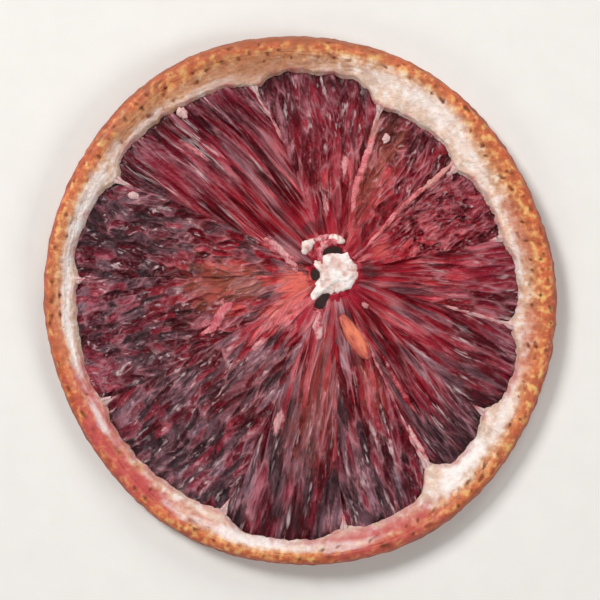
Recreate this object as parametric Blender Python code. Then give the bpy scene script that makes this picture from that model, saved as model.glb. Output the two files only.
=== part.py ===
"""Dried blood orange slice, 57 mm at its widest, lying flat: one solid.

The peel and pith stand proud as a rim round thin, leathery flesh. Walls run from the off-centre core to the
pith and part the flesh into segments. Both cut faces are alike. The solid is a set of closed rings about the
core: from the top of the core out over the flesh, pith and peel, down the skin, and back in underneath.
Lengths are in millimetres and angles in degrees, counter-clockwise from +X, until MM turns them to metres.
"""

import math
from collections.abc import Callable

import bmesh
import bpy

MM = 0.001

# The outline from above. Only even lobes, so that the box stays centred on the origin.
RIM_RADIUS = 28.15
RIM_OVAL = 0.62
RIM_OVAL_ANGLE = 105.0
RIM_RIPPLE = 0.13
RIM_RIPPLE_LOBES = 6

# The core lies off the middle, as the fruit was cut off its axis.
CORE_X = 3.7
CORE_Y = 2.75

# The circle that the flesh fills before each segment's own reach is added.
FLESH_RADIUS = 24.75
FLESH_X = -0.5
FLESH_Y = -0.83

# One row for each segment: the angle of the wall before it, seen from the core, how much further than the
# circle its flesh reaches, and how deep the pith runs in as a wedge at that wall.
SEGMENTS = (
    (12.0, -1.0, 0.5),
    (40.0, -0.8, 0.9),
    (75.5, 0.9, 1.3),
    (111.6, 0.5, 0.9),
    (155.4, 0.0, 1.2),
    (181.0, -0.9, 0.4),
    (209.5, -1.0, 0.7),
    (246.0, 0.5, 1.0),
    (271.0, 0.1, 0.8),
    (295.5, -0.6, 2.4),
    (316.5, 0.0, 1.1),
    (344.5, -0.4, 1.1),
)
WEDGE_WIDTH = 1.7
REACH_BLEND = 1.6

# The rim's section, as distances in from the outline and heights from the middle surface. The band of peel
# is thinner along one stretch.
PEEL_BAND = 1.9
PEEL_THINNING = 0.65
PEEL_THIN_ANGLE = 263.0
PEEL_THIN_FOCUS = 8
RIM_TOP = (1.05, 1.50)
SKIN = ((0.45, 1.15), (0.06, 0.25), (0.0, -0.50), (0.22, -1.15), (0.70, -1.50))
PEEL_EDGE_TOP = 1.42
PEEL_EDGE_UNDER = -1.46
PITH_HEIGHT = 1.12
PITH_LIP = (0.15, 0.88)
FLESH_CREASE = (0.25, 0.34)

# Flesh, walls and core.
FLESH_HALF = 0.62
FLESH_DISH = 0.12
FLESH_RINGS = 9
COLUMN_OPENING = 4.1
COLUMN_CROWDING = 0.55
SAC_RELIEF = 0.12
SAC_RINGS = 3
WALL_HALF_WIDTH = 0.24
WALL_RISE = 0.22
WALL_MOST_SHARE = 0.22
TIP_RADIUS = 3.5
CORE_RINGS = ((1.1, 0.78), (2.15, 0.66), (2.75, 0.20), (TIP_RADIUS, 0.52))

# A thin, shrunken seed that the knife bared on the upper face: the angle and distance of its middle from the
# core's, the way it points, half its length and width, and how far it stands up.
SEED_ANGLE = 286.0
SEED_DISTANCE = 7.6
SEED_POINTS = 301.0
SEED_HALF_LENGTH = 3.2
SEED_HALF_WIDTH = 0.75
SEED_RISE = 0.36

# Gaps that drying opened beside the core: angle and distance from its centre, width, and swept angle.
CORE_GAPS = (
    (94.0, 2.70, 0.66, 50.0),
    (181.0, 2.05, 0.95, 14.0),
    (244.0, 3.50, 1.15, 8.0),
)
GAP_END_STEPS = 4
GAP_SIDE_STEPS = 6
GAP_DEPTH = 8.0

# The dried round is a little wavy. Its underside is flat where it lay on the tray.
WAVES = ((3, 0.38, 25.0), (2, 0.10, 115.0))
WAVE_POWER = 2.0
SAG = 0.25
TRAY_HEIGHT = -1.72

FLESH_COLOUR = (0.13, 0.012, 0.02, 1.0)
FLESH_ROUGHNESS = 0.38


def outline_radius(angle: float) -> float:
    """Radius of the skin at its widest, about the origin."""
    oval = RIM_OVAL * math.cos(2 * math.radians(angle - RIM_OVAL_ANGLE))
    ripple = RIM_RIPPLE * math.cos(RIM_RIPPLE_LOBES * math.radians(angle))
    return RIM_RADIUS + oval + ripple


def flesh_circle_radius(angle: float) -> float:
    """Radius of the flesh circle about the origin, which is a little off its centre."""
    turn = math.radians(angle)
    along = FLESH_X * math.cos(turn) + FLESH_Y * math.sin(turn)
    across = FLESH_X * math.sin(turn) - FLESH_Y * math.cos(turn)
    return along + math.sqrt(FLESH_RADIUS**2 - across**2)


def distance_from_core(angle: float, radius_at: Callable[[float], float]) -> float:
    """How far a ray from the core runs before it meets the curve radius_at, which is about the origin."""
    turn = math.radians(angle)
    distance = RIM_RADIUS
    for _ in range(12):
        x = CORE_X + distance * math.cos(turn)
        y = CORE_Y + distance * math.sin(turn)
        distance += radius_at(math.degrees(math.atan2(y, x))) - math.hypot(x, y)
    return distance


def peel_band(angle: float) -> float:
    """Width of the band of peel, from the outline in to the pith, by the direction from the core."""
    nearness = 0.5 + 0.5 * math.cos(math.radians(angle - PEEL_THIN_ANGLE))
    return PEEL_BAND - PEEL_THINNING * nearness**PEEL_THIN_FOCUS


def lerp(low: float, high: float, share: float) -> float:
    """The value a share of the way from low to high."""
    return low + (high - low) * share


def segment_opening(segment: int) -> float:
    """Angle between the wall before a segment and the wall after it."""
    following = SEGMENTS[(segment + 1) % len(SEGMENTS)]
    return (following[0] - SEGMENTS[segment][0]) % 360


def segment_shares(segment: int) -> list[float]:
    """Where a segment's columns stand, from 0 at one wall's foot to 1 at the next one's, closer near the walls."""
    count = round(segment_opening(segment) / COLUMN_OPENING)
    places = [place / count for place in range(count + 1)]
    return [lerp(place, 0.5 - 0.5 * math.cos(math.pi * place), COLUMN_CROWDING) for place in places]


def seed_rise(distance: float, angle: float) -> float:
    """How far the seed lifts the upper face at a place about the core."""
    lean = math.radians(SEED_POINTS - SEED_ANGLE)
    turn = math.radians(angle - SEED_ANGLE)
    away = distance * math.cos(turn) - SEED_DISTANCE
    aside = distance * math.sin(turn)
    along = (away * math.cos(lean) + aside * math.sin(lean)) / SEED_HALF_LENGTH
    across = (aside * math.cos(lean) - away * math.sin(lean)) / SEED_HALF_WIDTH
    return SEED_RISE * math.exp(-(along**4) - across**2)


def wall_foot(distance: float, opening: float) -> float:
    """Angle between a wall's crest and its foot, at a distance from the core. Opening is the segment's angle."""
    half = math.degrees(math.asin(min(1.0, WALL_HALF_WIDTH / distance)))
    return min(half, WALL_MOST_SHARE * opening)


class Column:
    """One line of the ring mesh, out from the core: a wall's crest, or a share of the way across a segment."""

    def __init__(self, segment: int, place: int, share: float | None) -> None:
        self.place = place + segment
        self.share = share
        self.start, self.reach, self.wedge = SEGMENTS[segment]
        following = SEGMENTS[(segment + 1) % len(SEGMENTS)]
        before = SEGMENTS[segment - 1]
        self.opening = segment_opening(segment)
        self.wedge_after = following[2]
        self.reach_after = following[1]
        self.reach_before = before[1]

    def angle(self, distance: float) -> float:
        """Direction from the core, in degrees, at a distance from it."""
        if self.share is None:
            return self.start
        foot = wall_foot(distance, self.opening)
        return self.start + foot + self.share * (self.opening - 2 * foot)

    def flesh_edge(self) -> float:
        """Distance from the core to the pith, with the wedge at the nearer wall cut out of the flesh."""
        angle = self.angle(FLESH_RADIUS)
        circle = distance_from_core(angle, flesh_circle_radius)
        before = math.radians(angle - self.start) * circle
        after = math.radians(self.start + self.opening - angle) * circle
        blend_before = 0.5 * math.exp(-((before / REACH_BLEND) ** 2))
        blend_after = 0.5 * math.exp(-((after / REACH_BLEND) ** 2))
        reach = self.reach
        reach += blend_before * (self.reach_before - self.reach)
        reach += blend_after * (self.reach_after - self.reach)
        wedge = self.wedge * math.exp(-((before / WEDGE_WIDTH) ** 2))
        wedge += self.wedge_after * math.exp(-((after / WEDGE_WIDTH) ** 2))
        return circle + reach - wedge

    def relief(self, ring: int, side: int) -> float:
        """Height over the plain flesh face: a wall's crest, or dished flesh with the ridges of dried juice sacs."""
        if self.share is None:
            return WALL_RISE
        if self.share in (0.0, 1.0):
            return 0.0
        dish = FLESH_DISH * math.sin(math.pi * self.share)
        turns = (ring + self.place * side) // SAC_RINGS
        return SAC_RELIEF * (1 if (self.place + turns) % 2 else -1) - dish

    def face(self, side: int) -> list[tuple[float, float]]:
        """(distance from the core, height) of the rings of one cut face, from the core out. Side is 1 or -1."""
        edge = self.flesh_edge()
        outline = distance_from_core(self.angle(RIM_RADIUS), outline_radius)
        peel = outline - peel_band(self.angle(RIM_RADIUS))
        rings = [(distance, height * side) for distance, height in CORE_RINGS]
        for ring in range(1, FLESH_RINGS + 1):
            distance = lerp(TIP_RADIUS, edge - FLESH_CREASE[0], ring / (FLESH_RINGS + 1))
            height = FLESH_HALF + self.relief(ring, side)
            if side > 0:
                height += seed_rise(distance, self.angle(distance))
            rings.append((distance, height * side))
        rings.append((edge - FLESH_CREASE[0], FLESH_CREASE[1] * side))
        rings.append((edge + PITH_LIP[0], PITH_LIP[1] * side))
        rings.append((lerp(edge + PITH_LIP[0], peel, 0.5), PITH_HEIGHT * side))
        rings.append((peel, PEEL_EDGE_TOP if side > 0 else PEEL_EDGE_UNDER))
        if side > 0:
            rings.append((outline - RIM_TOP[0], RIM_TOP[1]))
        return rings

    def profile(self) -> list[tuple[float, float]]:
        """All rings of this column: over the top face, down the skin, and back in along the underside."""
        outline = distance_from_core(self.angle(RIM_RADIUS), outline_radius)
        skin = [(outline - inward, height) for inward, height in SKIN]
        return self.face(1) + skin + self.face(-1)[::-1]


def middle_height(x: float, y: float) -> float:
    """Height of the wavy middle surface above the tray."""
    share = math.hypot(x, y) / RIM_RADIUS
    turn = math.degrees(math.atan2(y, x))
    waves = sum(size * math.cos(lobes * math.radians(turn - at)) for lobes, size, at in WAVES)
    return waves * share**WAVE_POWER - SAG * (1 - share**2) - TRAY_HEIGHT


def placed(distance: float, angle: float, height: float) -> tuple[float, float, float]:
    """A point of the slice in metres, flattened where it lies on the tray."""
    x = CORE_X + distance * math.cos(math.radians(angle))
    y = CORE_Y + distance * math.sin(math.radians(angle))
    z = max(0.0, middle_height(x, y) + height)
    return (x * MM, y * MM, z * MM)


def all_columns() -> list[Column]:
    """Every column round the core: each wall's crest, and the columns of the segment after it."""
    columns = []
    for segment in range(len(SEGMENTS)):
        shares = [None] + segment_shares(segment)
        columns += [Column(segment, place, share) for place, share in enumerate(shares)]
    return columns


def food_material(name: str) -> bpy.types.Material:
    """The dried flesh's own colour and dull gloss."""
    material = bpy.data.materials.new(name)
    material.use_nodes = True
    shader = material.node_tree.nodes["Principled BSDF"]
    shader.inputs["Base Color"].default_value = FLESH_COLOUR
    shader.inputs["Roughness"].default_value = FLESH_ROUGHNESS
    shader.inputs["Metallic"].default_value = 0.0
    return material


def linked_object(name: str, shape: bmesh.types.BMesh) -> bpy.types.Object:
    """A new object in the scene that holds the shape."""
    mesh = bpy.data.meshes.new(name)
    bmesh.ops.recalc_face_normals(shape, faces=shape.faces)
    shape.to_mesh(mesh)
    shape.free()
    made = bpy.data.objects.new(name, mesh)
    bpy.context.scene.collection.objects.link(made)
    return made


def ringed_slice(name: str) -> bpy.types.Object:
    """The slice as closed rings about the core, joined ring to ring and closed by a point at each end."""
    shape = bmesh.new()
    columns = all_columns()
    lines = []
    for column in columns:
        profile = column.profile()
        lines.append([shape.verts.new(placed(d, column.angle(d), h)) for d, h in profile])
    top = shape.verts.new(placed(0.0, 0.0, CORE_RINGS[0][1]))
    under = shape.verts.new(placed(0.0, 0.0, -CORE_RINGS[0][1]))
    for index, line in enumerate(lines):
        after = lines[(index + 1) % len(lines)]
        shape.faces.new((top, line[0], after[0]))
        shape.faces.new((under, after[-1], line[-1]))
        for ring in range(len(line) - 1):
            shape.faces.new((line[ring], line[ring + 1], after[ring + 1], after[ring]))
    return linked_object(name, shape)


def gap_outline(angle: float, distance: float, width: float, sweep: float) -> list[tuple[float, float]]:
    """A bean-shaped outline, bent round the core, with round ends."""
    points = []
    for side in (1, -1):
        for step in range(GAP_SIDE_STEPS + 1):
            turn = angle + side * lerp(-sweep / 2, sweep / 2, step / GAP_SIDE_STEPS)
            points.append((distance + side * width / 2, turn, 0.0))
        for step in range(1, GAP_END_STEPS):
            lean = math.pi * step / GAP_END_STEPS
            turn = angle + side * sweep / 2
            points.append((distance + side * math.cos(lean) * width / 2, turn, side * math.sin(lean) * width / 2))
    outline = []
    for radius, turn, along in points:
        direction = math.radians(turn)
        x = CORE_X + radius * math.cos(direction) - along * math.sin(direction)
        y = CORE_Y + radius * math.sin(direction) + along * math.cos(direction)
        outline.append((x, y))
    return outline


def gap_cutter(name: str, outline: list[tuple[float, float]]) -> bpy.types.Object:
    """A prism on the outline that runs right through the slice. It only cuts, so it isn't rendered."""
    shape = bmesh.new()
    floor = [shape.verts.new((x * MM, y * MM, -GAP_DEPTH / 2 * MM)) for x, y in outline]
    base = shape.faces.new(floor)
    raised = bmesh.ops.extrude_face_region(shape, geom=[base])["geom"]
    lifted = [part for part in raised if isinstance(part, bmesh.types.BMVert)]
    bmesh.ops.translate(shape, vec=(0.0, 0.0, 2 * GAP_DEPTH * MM), verts=lifted)
    cutter = linked_object(name, shape)
    cutter.hide_render = True
    cutter.display_type = "WIRE"
    return cutter


def cut_core_gaps(body: bpy.types.Object) -> None:
    """Opens the gaps beside the core."""
    for index, gap in enumerate(CORE_GAPS, start=1):
        cut = body.modifiers.new(f"core_gap_{index}", "BOOLEAN")
        cut.operation = "DIFFERENCE"
        cut.solver = "EXACT"
        cut.object = gap_cutter(f"core_gap_cutter_{index}", gap_outline(*gap))


def main() -> None:
    """Clears the scene and builds the slice."""
    for old in list(bpy.data.objects):
        bpy.data.objects.remove(old)
    body = ringed_slice("citrus_slice")
    body.data.materials.append(food_material("dried_flesh"))
    cut_core_gaps(body)
    body.data.shade_smooth()


main()
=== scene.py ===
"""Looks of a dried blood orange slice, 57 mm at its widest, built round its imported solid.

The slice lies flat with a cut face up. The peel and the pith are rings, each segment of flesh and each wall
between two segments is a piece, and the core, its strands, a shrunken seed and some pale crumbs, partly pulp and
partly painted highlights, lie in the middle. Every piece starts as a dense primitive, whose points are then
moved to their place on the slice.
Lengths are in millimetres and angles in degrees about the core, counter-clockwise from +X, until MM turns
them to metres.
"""

import logging
import math
from collections.abc import Callable, Sequence
from dataclasses import dataclass, field
from enum import Enum

import bpy
import numpy as np
from numpy.typing import NDArray
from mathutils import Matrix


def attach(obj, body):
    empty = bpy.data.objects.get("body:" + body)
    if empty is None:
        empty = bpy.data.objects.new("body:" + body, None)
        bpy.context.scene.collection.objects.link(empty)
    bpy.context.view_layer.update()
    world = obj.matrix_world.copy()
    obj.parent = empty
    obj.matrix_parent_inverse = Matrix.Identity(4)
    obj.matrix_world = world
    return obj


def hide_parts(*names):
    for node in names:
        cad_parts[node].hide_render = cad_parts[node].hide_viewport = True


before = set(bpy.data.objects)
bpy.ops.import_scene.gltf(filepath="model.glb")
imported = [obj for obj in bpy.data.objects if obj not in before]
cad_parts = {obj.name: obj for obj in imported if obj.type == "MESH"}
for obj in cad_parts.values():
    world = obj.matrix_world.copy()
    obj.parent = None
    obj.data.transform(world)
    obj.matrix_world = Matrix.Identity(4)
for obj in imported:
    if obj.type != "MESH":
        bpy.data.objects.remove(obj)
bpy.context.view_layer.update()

Array = NDArray[np.float64]
Colour = tuple[float, float, float]
Stops = tuple[tuple[float, Colour], ...]
Piece, Material = bpy.types.Object, bpy.types.Material
Tree, Node, Socket = bpy.types.NodeTree, bpy.types.Node, bpy.types.NodeSocket
Masks = dict["Tint", Array]

MM = 0.001
FULL_TURN = 360.0
LAYER_SUM = 1.4  # keeps layers of noise within about -1 to 1 together
RING_RADIUS = 2.0  # of a dense ring, before its points are moved
FAR = 3.0  # the most that is stored for how far a gland or the flesh is
NUDGE = 0.01  # to either side along a section, to find which way it runs
WALL_FADE = 1.5  # half the distance over which a pale or pink stretch of a wall fades
LONG_PALE = 10.0  # over this, a pale stretch counts as long
LONG_CREST, SHORT_CREST = 0.62, 0.82  # how strongly a long or a short pale stretch shows
BODY = "root"
NODE = "citrus_slice"
LOG = logging.getLogger("slice")


class Slot(Enum):
    """The record's finishes."""

    FLESH = "dried_flesh"
    PITH = "pith"
    PEEL = "peel"


class Side(Enum):
    """The two cut faces."""

    UPPER = 1
    UNDER = -1


# ------------ numbers that vary over the slice


def smooth_step(low: float, high: float, value: Array) -> Array:
    """Rises smoothly from 0 where value is low to 1 where it is high, or falls where low is over high."""
    share = np.clip((value - low) / (high - low), 0.0, 1.0)
    return share * share * (3.0 - 2.0 * share)


def mix(low: Array | float, high: Array | float, share: Array | float) -> Array:
    """The value a share of the way from low to high."""
    return low + (high - low) * share


def turn_between(angle: Array, at: float) -> Array:
    """The signed angle from at to angle, from -180 to 180 degrees."""
    return (angle - at + FULL_TURN / 2) % FULL_TURN - FULL_TURN / 2


def bump(offset: Array, width: float, power: float = 2.0) -> Array:
    """A smooth bump of height 1 at offset 0, which falls off over width."""
    return np.exp(-(np.abs(offset / width) ** power))


def curve_through(knots: Sequence[Array], t: Array) -> Array:
    """A smooth curve through four evenly spaced knots, a share t of the way from the second to the third."""
    a, b, c, d = knots
    return b + 0.5 * t * (c - a + t * (2 * a - 5 * b + 4 * c - d + t * (3 * (b - c) + d - a)))


def curve_heading(knots: Sequence[Array], t: Array) -> Array:
    """How fast the same curve changes."""
    a, b, c, d = knots
    return 0.5 * (c - a + 2 * t * (2 * a - 5 * b + 4 * c - d) + 3 * t * t * (3 * (b - c) + d - a))


@dataclass(frozen=True)
class SmoothNoise:
    """Seeded noise on a plane, from -1 to 1, which repeats after its columns, so that it closes round a ring."""

    seed: int
    columns: int = 64
    rows: int = 64

    def around(self, angle: Array) -> Array:
        """Turns angles to places across, so that the columns go once round the slice."""
        return angle / (FULL_TURN / self.columns)

    def sample(self, across: Array, along: Array) -> Array:
        """Reads the noise.

        Args:
            across: Places across, in cells.
            along: Places along, in cells.

        Returns:
            The noise at each place.
        """
        table = np.random.default_rng(self.seed).uniform(-1.0, 1.0, (self.rows, self.columns))
        column, row = np.floor(across).astype(int), np.floor(along).astype(int)
        a, b = across - column, along - row
        a, b = a * a * (3.0 - 2.0 * a), b * b * (3.0 - 2.0 * b)
        column, row = column % self.columns, row % self.rows
        right, above = (column + 1) % self.columns, (row + 1) % self.rows
        near = mix(table[row, column], table[row, right], a)
        far = mix(table[above, column], table[above, right], a)
        return mix(near, far, b)

    def layered(self, across: Array, along: Array, layers: int = 3) -> Array:
        """The noise with finer and fainter layers of itself on top.

        Args:
            across: Places across, in cells of the coarsest layer.
            along: Places along, in cells of the coarsest layer.
            layers: How many layers there are. Each is twice as fine and half as strong as the one before.

        Returns:
            The layered noise, still within about -1 to 1.
        """
        total = np.zeros_like(across)
        for layer in range(layers):
            fine = 2**layer
            noise = SmoothNoise(self.seed + layer, self.columns * fine, self.rows * fine)
            total = total + noise.sample(across * fine, along * fine) / (fine * LAYER_SUM)
        return total

    def layered_round(self, angle: Array, along: Array | float = 0.0, layers: int = 3) -> Array:
        """The layered noise, with its columns once round the slice."""
        return self.layered(self.around(angle), np.broadcast_to(along, angle.shape), layers)


@dataclass(frozen=True)
class CellSample:
    """What a field of cells gives at each place.

    Attributes:
        border: How far inside its cell the place is, in cells. It is 0 on the border.
        across: Offset from the cell's middle, in cells.
        along: The same along the cell.
        tone: A number from 0 to 1 that belongs to the cell.
        twist: Another such number.
    """

    border: Array
    across: Array
    along: Array
    tone: Array
    twist: Array


@dataclass(frozen=True)
class CellField:
    """Staggered, jittered cells that meet at borders, like sacs, pores or glands. Columns close round a ring."""

    seed: int
    columns: int
    rows: int = 64
    jitter: float = 0.75
    stagger: float = 1.0

    def sample(self, across: Array, along: Array) -> CellSample:
        """Finds each place's own cell.

        Args:
            across: Places across, in cells.
            along: Places along, in cells.

        Returns:
            The cell at each place.
        """
        draw = np.random.default_rng(self.seed)
        shape = (self.rows, self.columns)
        shift_across = draw.uniform(-0.5, 0.5, shape) * self.jitter
        shift_along = draw.uniform(-0.5, 0.5, shape) * self.jitter
        tones, twists = draw.uniform(0.0, 1.0, shape), draw.uniform(0.0, 1.0, shape)
        stagger = draw.uniform(0.0, self.stagger, self.columns)
        nearest, second = np.full_like(across, np.inf), np.full_like(across, np.inf)
        found = [np.zeros_like(across) for _ in range(4)]
        home = np.floor(across).astype(int)
        for column_step in (-1, 0, 1):
            column = (home + column_step) % self.columns
            lane = along - stagger[column]
            level = np.floor(lane).astype(int)
            for row_step in (-1, 0, 1):
                row = (level + row_step) % self.rows
                aside = across - (home + column_step + 0.5 + shift_across[row, column])
                ahead = lane - (level + row_step + 0.5 + shift_along[row, column])
                distance = np.hypot(aside, ahead)
                closer = distance < nearest
                second = np.where(closer, nearest, np.minimum(second, distance))
                nearest = np.where(closer, distance, nearest)
                fresh = (aside, ahead, tones[row, column], twists[row, column])
                found = [np.where(closer, new, old) for new, old in zip(fresh, found)]
        return CellSample(second - nearest, *found)


# ------------ the slice seen from above


@dataclass(frozen=True)
class Wall:
    """One wall between two segments, and the segment after it.

    Attributes:
        angle: Its direction from the core.
        reach: How much further than the flesh circle the segment after it fills.
        sac: How long the cut sacs of the segment after it look.
        wedge: How deep the pith runs in as a wedge at the wall.
        pale: How far in from the pith the wall shows pale.
        pink: How far out from the core it shows pink.
        bend: How far it swings to the side where it meets the pith, in degrees.
        lift: How much lighter the segment after it is.
    """

    angle: float
    reach: float
    sac: float
    wedge: float
    pale: float
    pink: float
    bend: float = 0.0
    lift: float = 0.0

    def shown(self, distance: Array, inward: Array, frayed: Array) -> Array:
        """How strongly the wall shows pale or pink.

        Args:
            distance: Distances from the core.
            inward: Distances in from the pith.
            frayed: Noise that frays the pale stretch.

        Returns:
            Its strength, from 0 to 1.
        """
        crest = LONG_CREST if self.pale > LONG_PALE else SHORT_CREST
        pale = smooth_step(self.pale + WALL_FADE, self.pale - WALL_FADE, inward)
        pale = pale * (crest + 0.22 * frayed + 0.35 * smooth_step(2.2, 0.3, inward))
        pink = smooth_step(self.pink + WALL_FADE, self.pink - WALL_FADE, distance) if self.pink else 0.0
        return np.clip(np.maximum(pale, 0.5 * pink), 0.0, 1.0)


@dataclass(frozen=True)
class Gap:
    """An opening beside the core: angle and distance of its middle, width out from the core, and swept angle."""

    angle: float
    distance: float
    width: float
    sweep: float

    @property
    def inner(self) -> float:
        """Distance of its edge on the core's side."""
        return self.distance - self.width / 2

    @property
    def outer(self) -> float:
        """Distance of its far edge."""
        return self.distance + self.width / 2

    def window(self, angle: Array) -> Array:
        """1 in the gap's own stretch of angles, falling to 0 beside it."""
        half = self.sweep / 2 + math.degrees(self.width / 2 / self.distance)
        return bump(turn_between(angle, self.angle), half, 4.0)


WALLS = (
    Wall(12.0, -1.0, 1.2, 0.5, 1.5, 0.0, 0.0, 0.06),
    Wall(40.0, -0.8, 2.2, 0.9, 1.5, 15.0, 1.5, -0.27),
    Wall(75.5, 0.9, 3.2, 1.3, 3.0, 3.0, -1.0, -0.15),
    Wall(111.6, 0.5, 8.0, 0.9, 6.5, 0.0, 1.5, -0.04),
    Wall(155.4, 0.0, 1.9, 1.2, 2.6, 3.0, 1.0, -0.06),
    Wall(181.0, -0.9, 2.0, 0.4, 1.0, 3.0, 0.0, 0.11),
    Wall(209.5, -1.0, 2.6, 0.7, 1.5, 13.0, -1.0, 0.10),
    Wall(246.0, 0.5, 6.0, 1.0, 2.0, 3.0, -1.0, -0.02),
    Wall(271.0, 0.1, 4.0, 0.8, 1.5, 2.0, 1.0, -0.04),
    Wall(295.5, -0.6, 6.5, 2.4, 16.0, 2.0, 0.8, -0.10),
    Wall(316.5, 0.0, 5.5, 1.1, 1.5, 1.0, 1.0, 0.0),
    Wall(344.5, -0.4, 4.0, 1.1, 8.0, 2.0, -1.0, 0.0),
)

GAPS = (
    Gap(94.0, 2.70, 0.66, 50.0),
    Gap(181.0, 2.05, 0.95, 14.0),
    Gap(244.0, 3.50, 1.15, 8.0),
)


def wall_values(name: str) -> Array:
    """One field of every wall, in order."""
    return np.array([getattr(wall, name) for wall in WALLS])


@dataclass(frozen=True)
class SlicePlan:
    """The slice's plan and waviness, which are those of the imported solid.

    Attributes:
        rim_radius: Mean radius of the skin at its widest. The rim_ fields make it oval and rippled.
        core_x: Place of the core, with core_y.
        flesh_radius: Radius of the flesh circle, whose centre is at flesh_x, flesh_y.
        wedge_width: Half width of the wedges of pith at the walls.
        reach_blend: Over what distance one segment's reach passes into the next.
        band: Width of the cut band of peel. The band_ fields make it thinner towards one side.
        waves: The tray's waves, each with its lobes, size and direction.
        sag: How far the middle sinks.
        tray_height: Height of the surface that the slice lies on, under the middle surface.
        tip_radius: Distance from the core at which the flesh begins. The tip_ fields fray it and clear the gaps.
        edge_ragged: How ragged the flesh's outer edge is.
        ray_steps: Steps in which a ray from the core finds a curve.
        waver: How far the walls waver, in degrees, over waver_length.
    """

    rim_radius: float = 28.15
    rim_oval: float = 0.62
    rim_oval_angle: float = 105.0
    rim_ripple: float = 0.13
    rim_ripple_lobes: int = 6
    core_x: float = 3.7
    core_y: float = 2.75
    flesh_radius: float = 24.75
    flesh_x: float = -0.5
    flesh_y: float = -0.83
    wedge_width: float = 1.7
    reach_blend: float = 1.6
    band: float = 1.9
    band_thinning: float = 0.65
    band_thin_angle: float = 263.0
    band_thin_focus: int = 8
    waves: tuple[tuple[int, float, float], ...] = ((3, 0.38, 25.0), (2, 0.10, 115.0))
    sag: float = 0.25
    tray_height: float = -1.72
    tip_radius: float = 2.75
    tip_ragged: float = 0.30
    tip_clearance: float = 0.35
    edge_ragged: float = 0.16
    ray_steps: int = 12
    waver: float = 0.5
    waver_length: float = 4.0

    def outline(self, angle: Array) -> Array:
        """Radius of the skin at its widest, about the origin."""
        oval = self.rim_oval * np.cos(2 * np.radians(angle - self.rim_oval_angle))
        return self.rim_radius + oval + self.rim_ripple * np.cos(self.rim_ripple_lobes * np.radians(angle))

    def flesh_circle(self, angle: Array) -> Array:
        """Works out the flesh circle, which is a little off the origin.

        Args:
            angle: Directions from the origin.

        Returns:
            The circle's radius about the origin.
        """
        turn = np.radians(angle)
        along = self.flesh_x * np.cos(turn) + self.flesh_y * np.sin(turn)
        across = self.flesh_x * np.sin(turn) - self.flesh_y * np.cos(turn)
        return along + np.sqrt(self.flesh_radius**2 - across**2)

    def from_core(self, angle: Array, curve: Callable[[Array], Array]) -> Array:
        """How far rays from the core run before they meet a curve about the origin.

        Args:
            angle: The rays' directions.
            curve: The curve's radius about the origin, by angle.

        Returns:
            Each ray's length.
        """
        turn = np.radians(angle)
        distance = np.full_like(turn, self.rim_radius)
        for _ in range(self.ray_steps):
            x = self.core_x + distance * np.cos(turn)
            y = self.core_y + distance * np.sin(turn)
            distance = distance + curve(np.degrees(np.arctan2(y, x))) - np.hypot(x, y)
        return distance

    def neighbours(self, angle: Array) -> tuple[Array, Array, Array]:
        """Finds the walls on either side.

        Args:
            angle: Directions from the core.

        Returns:
            The wall before each angle and the wall after it, by number, and the share of the way between them.
        """
        starts = wall_values("angle")
        before = (np.searchsorted(starts, angle % FULL_TURN, side="right") - 1) % len(WALLS)
        after = (before + 1) % len(WALLS)
        opening = (starts[after] - starts[before]) % FULL_TURN
        return before, after, ((angle - starts[before]) % FULL_TURN) / opening

    def flesh_edge(self, angle: Array) -> Array:
        """Works out where the flesh meets the pith, with the wedges at the walls cut out of it.

        Args:
            angle: Directions from the core.

        Returns:
            Distances from the core.
        """
        circle = self.from_core(angle, self.flesh_circle)
        starts, reaches, wedges = wall_values("angle"), wall_values("reach"), wall_values("wedge")
        before, after, _ = self.neighbours(angle)
        past = np.radians((angle - starts[before]) % FULL_TURN) * circle
        short = np.radians((starts[after] - angle) % FULL_TURN) * circle
        reach = reaches[before]
        reach = reach + 0.5 * bump(past, self.reach_blend) * (reaches[before - 1] - reaches[before])
        reach = reach + 0.5 * bump(short, self.reach_blend) * (reaches[after] - reaches[before])
        wedge = wedges[before] * bump(past, self.wedge_width) + wedges[after] * bump(short, self.wedge_width)
        return circle + reach - wedge + self.edge_ragged * SmoothNoise(71, 180).layered_round(angle)

    def outline_edge(self, angle: Array) -> Array:
        """Distance from the core to the outline."""
        return self.from_core(angle, self.outline)

    def peel_edge(self, angle: Array) -> Array:
        """Distance from the core to where the peel meets the pith."""
        nearness = 0.5 + 0.5 * np.cos(np.radians(angle - self.band_thin_angle))
        return self.outline_edge(angle) - self.band + self.band_thinning * nearness**self.band_thin_focus

    def tip_edge(self, angle: Array) -> Array:
        """Works out where the flesh begins, outside the gaps.

        Args:
            angle: Directions from the core.

        Returns:
            Distances from the core.
        """
        edge = self.tip_radius + self.tip_ragged * SmoothNoise(5, 72).layered_round(angle, layers=2)
        for gap in GAPS:
            clear = gap.outer + self.tip_clearance
            edge = np.maximum(edge, mix(0.0, clear, gap.window(angle)))
        return edge

    def swing(self, angle: Array, distance: Array) -> Array:
        """Works out how far the walls' bends carry a place to the side.

        Args:
            angle: Directions from the core, before the bends.
            distance: Distances from the core.

        Returns:
            The swing, in degrees.
        """
        share = distance / self.from_core(angle, self.flesh_circle)
        before, after, between = self.neighbours(angle)
        bends = wall_values("bend")
        waver = SmoothNoise(9, len(WALLS)).sample(before + between, distance / self.waver_length)
        bend = mix(bends[before], bends[after], between) * smooth_step(0.72, 0.97, share)
        return (bend + self.waver * waver * smooth_step(5.0, 10.0, distance)) * smooth_step(1.10, 1.0, share)

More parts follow.
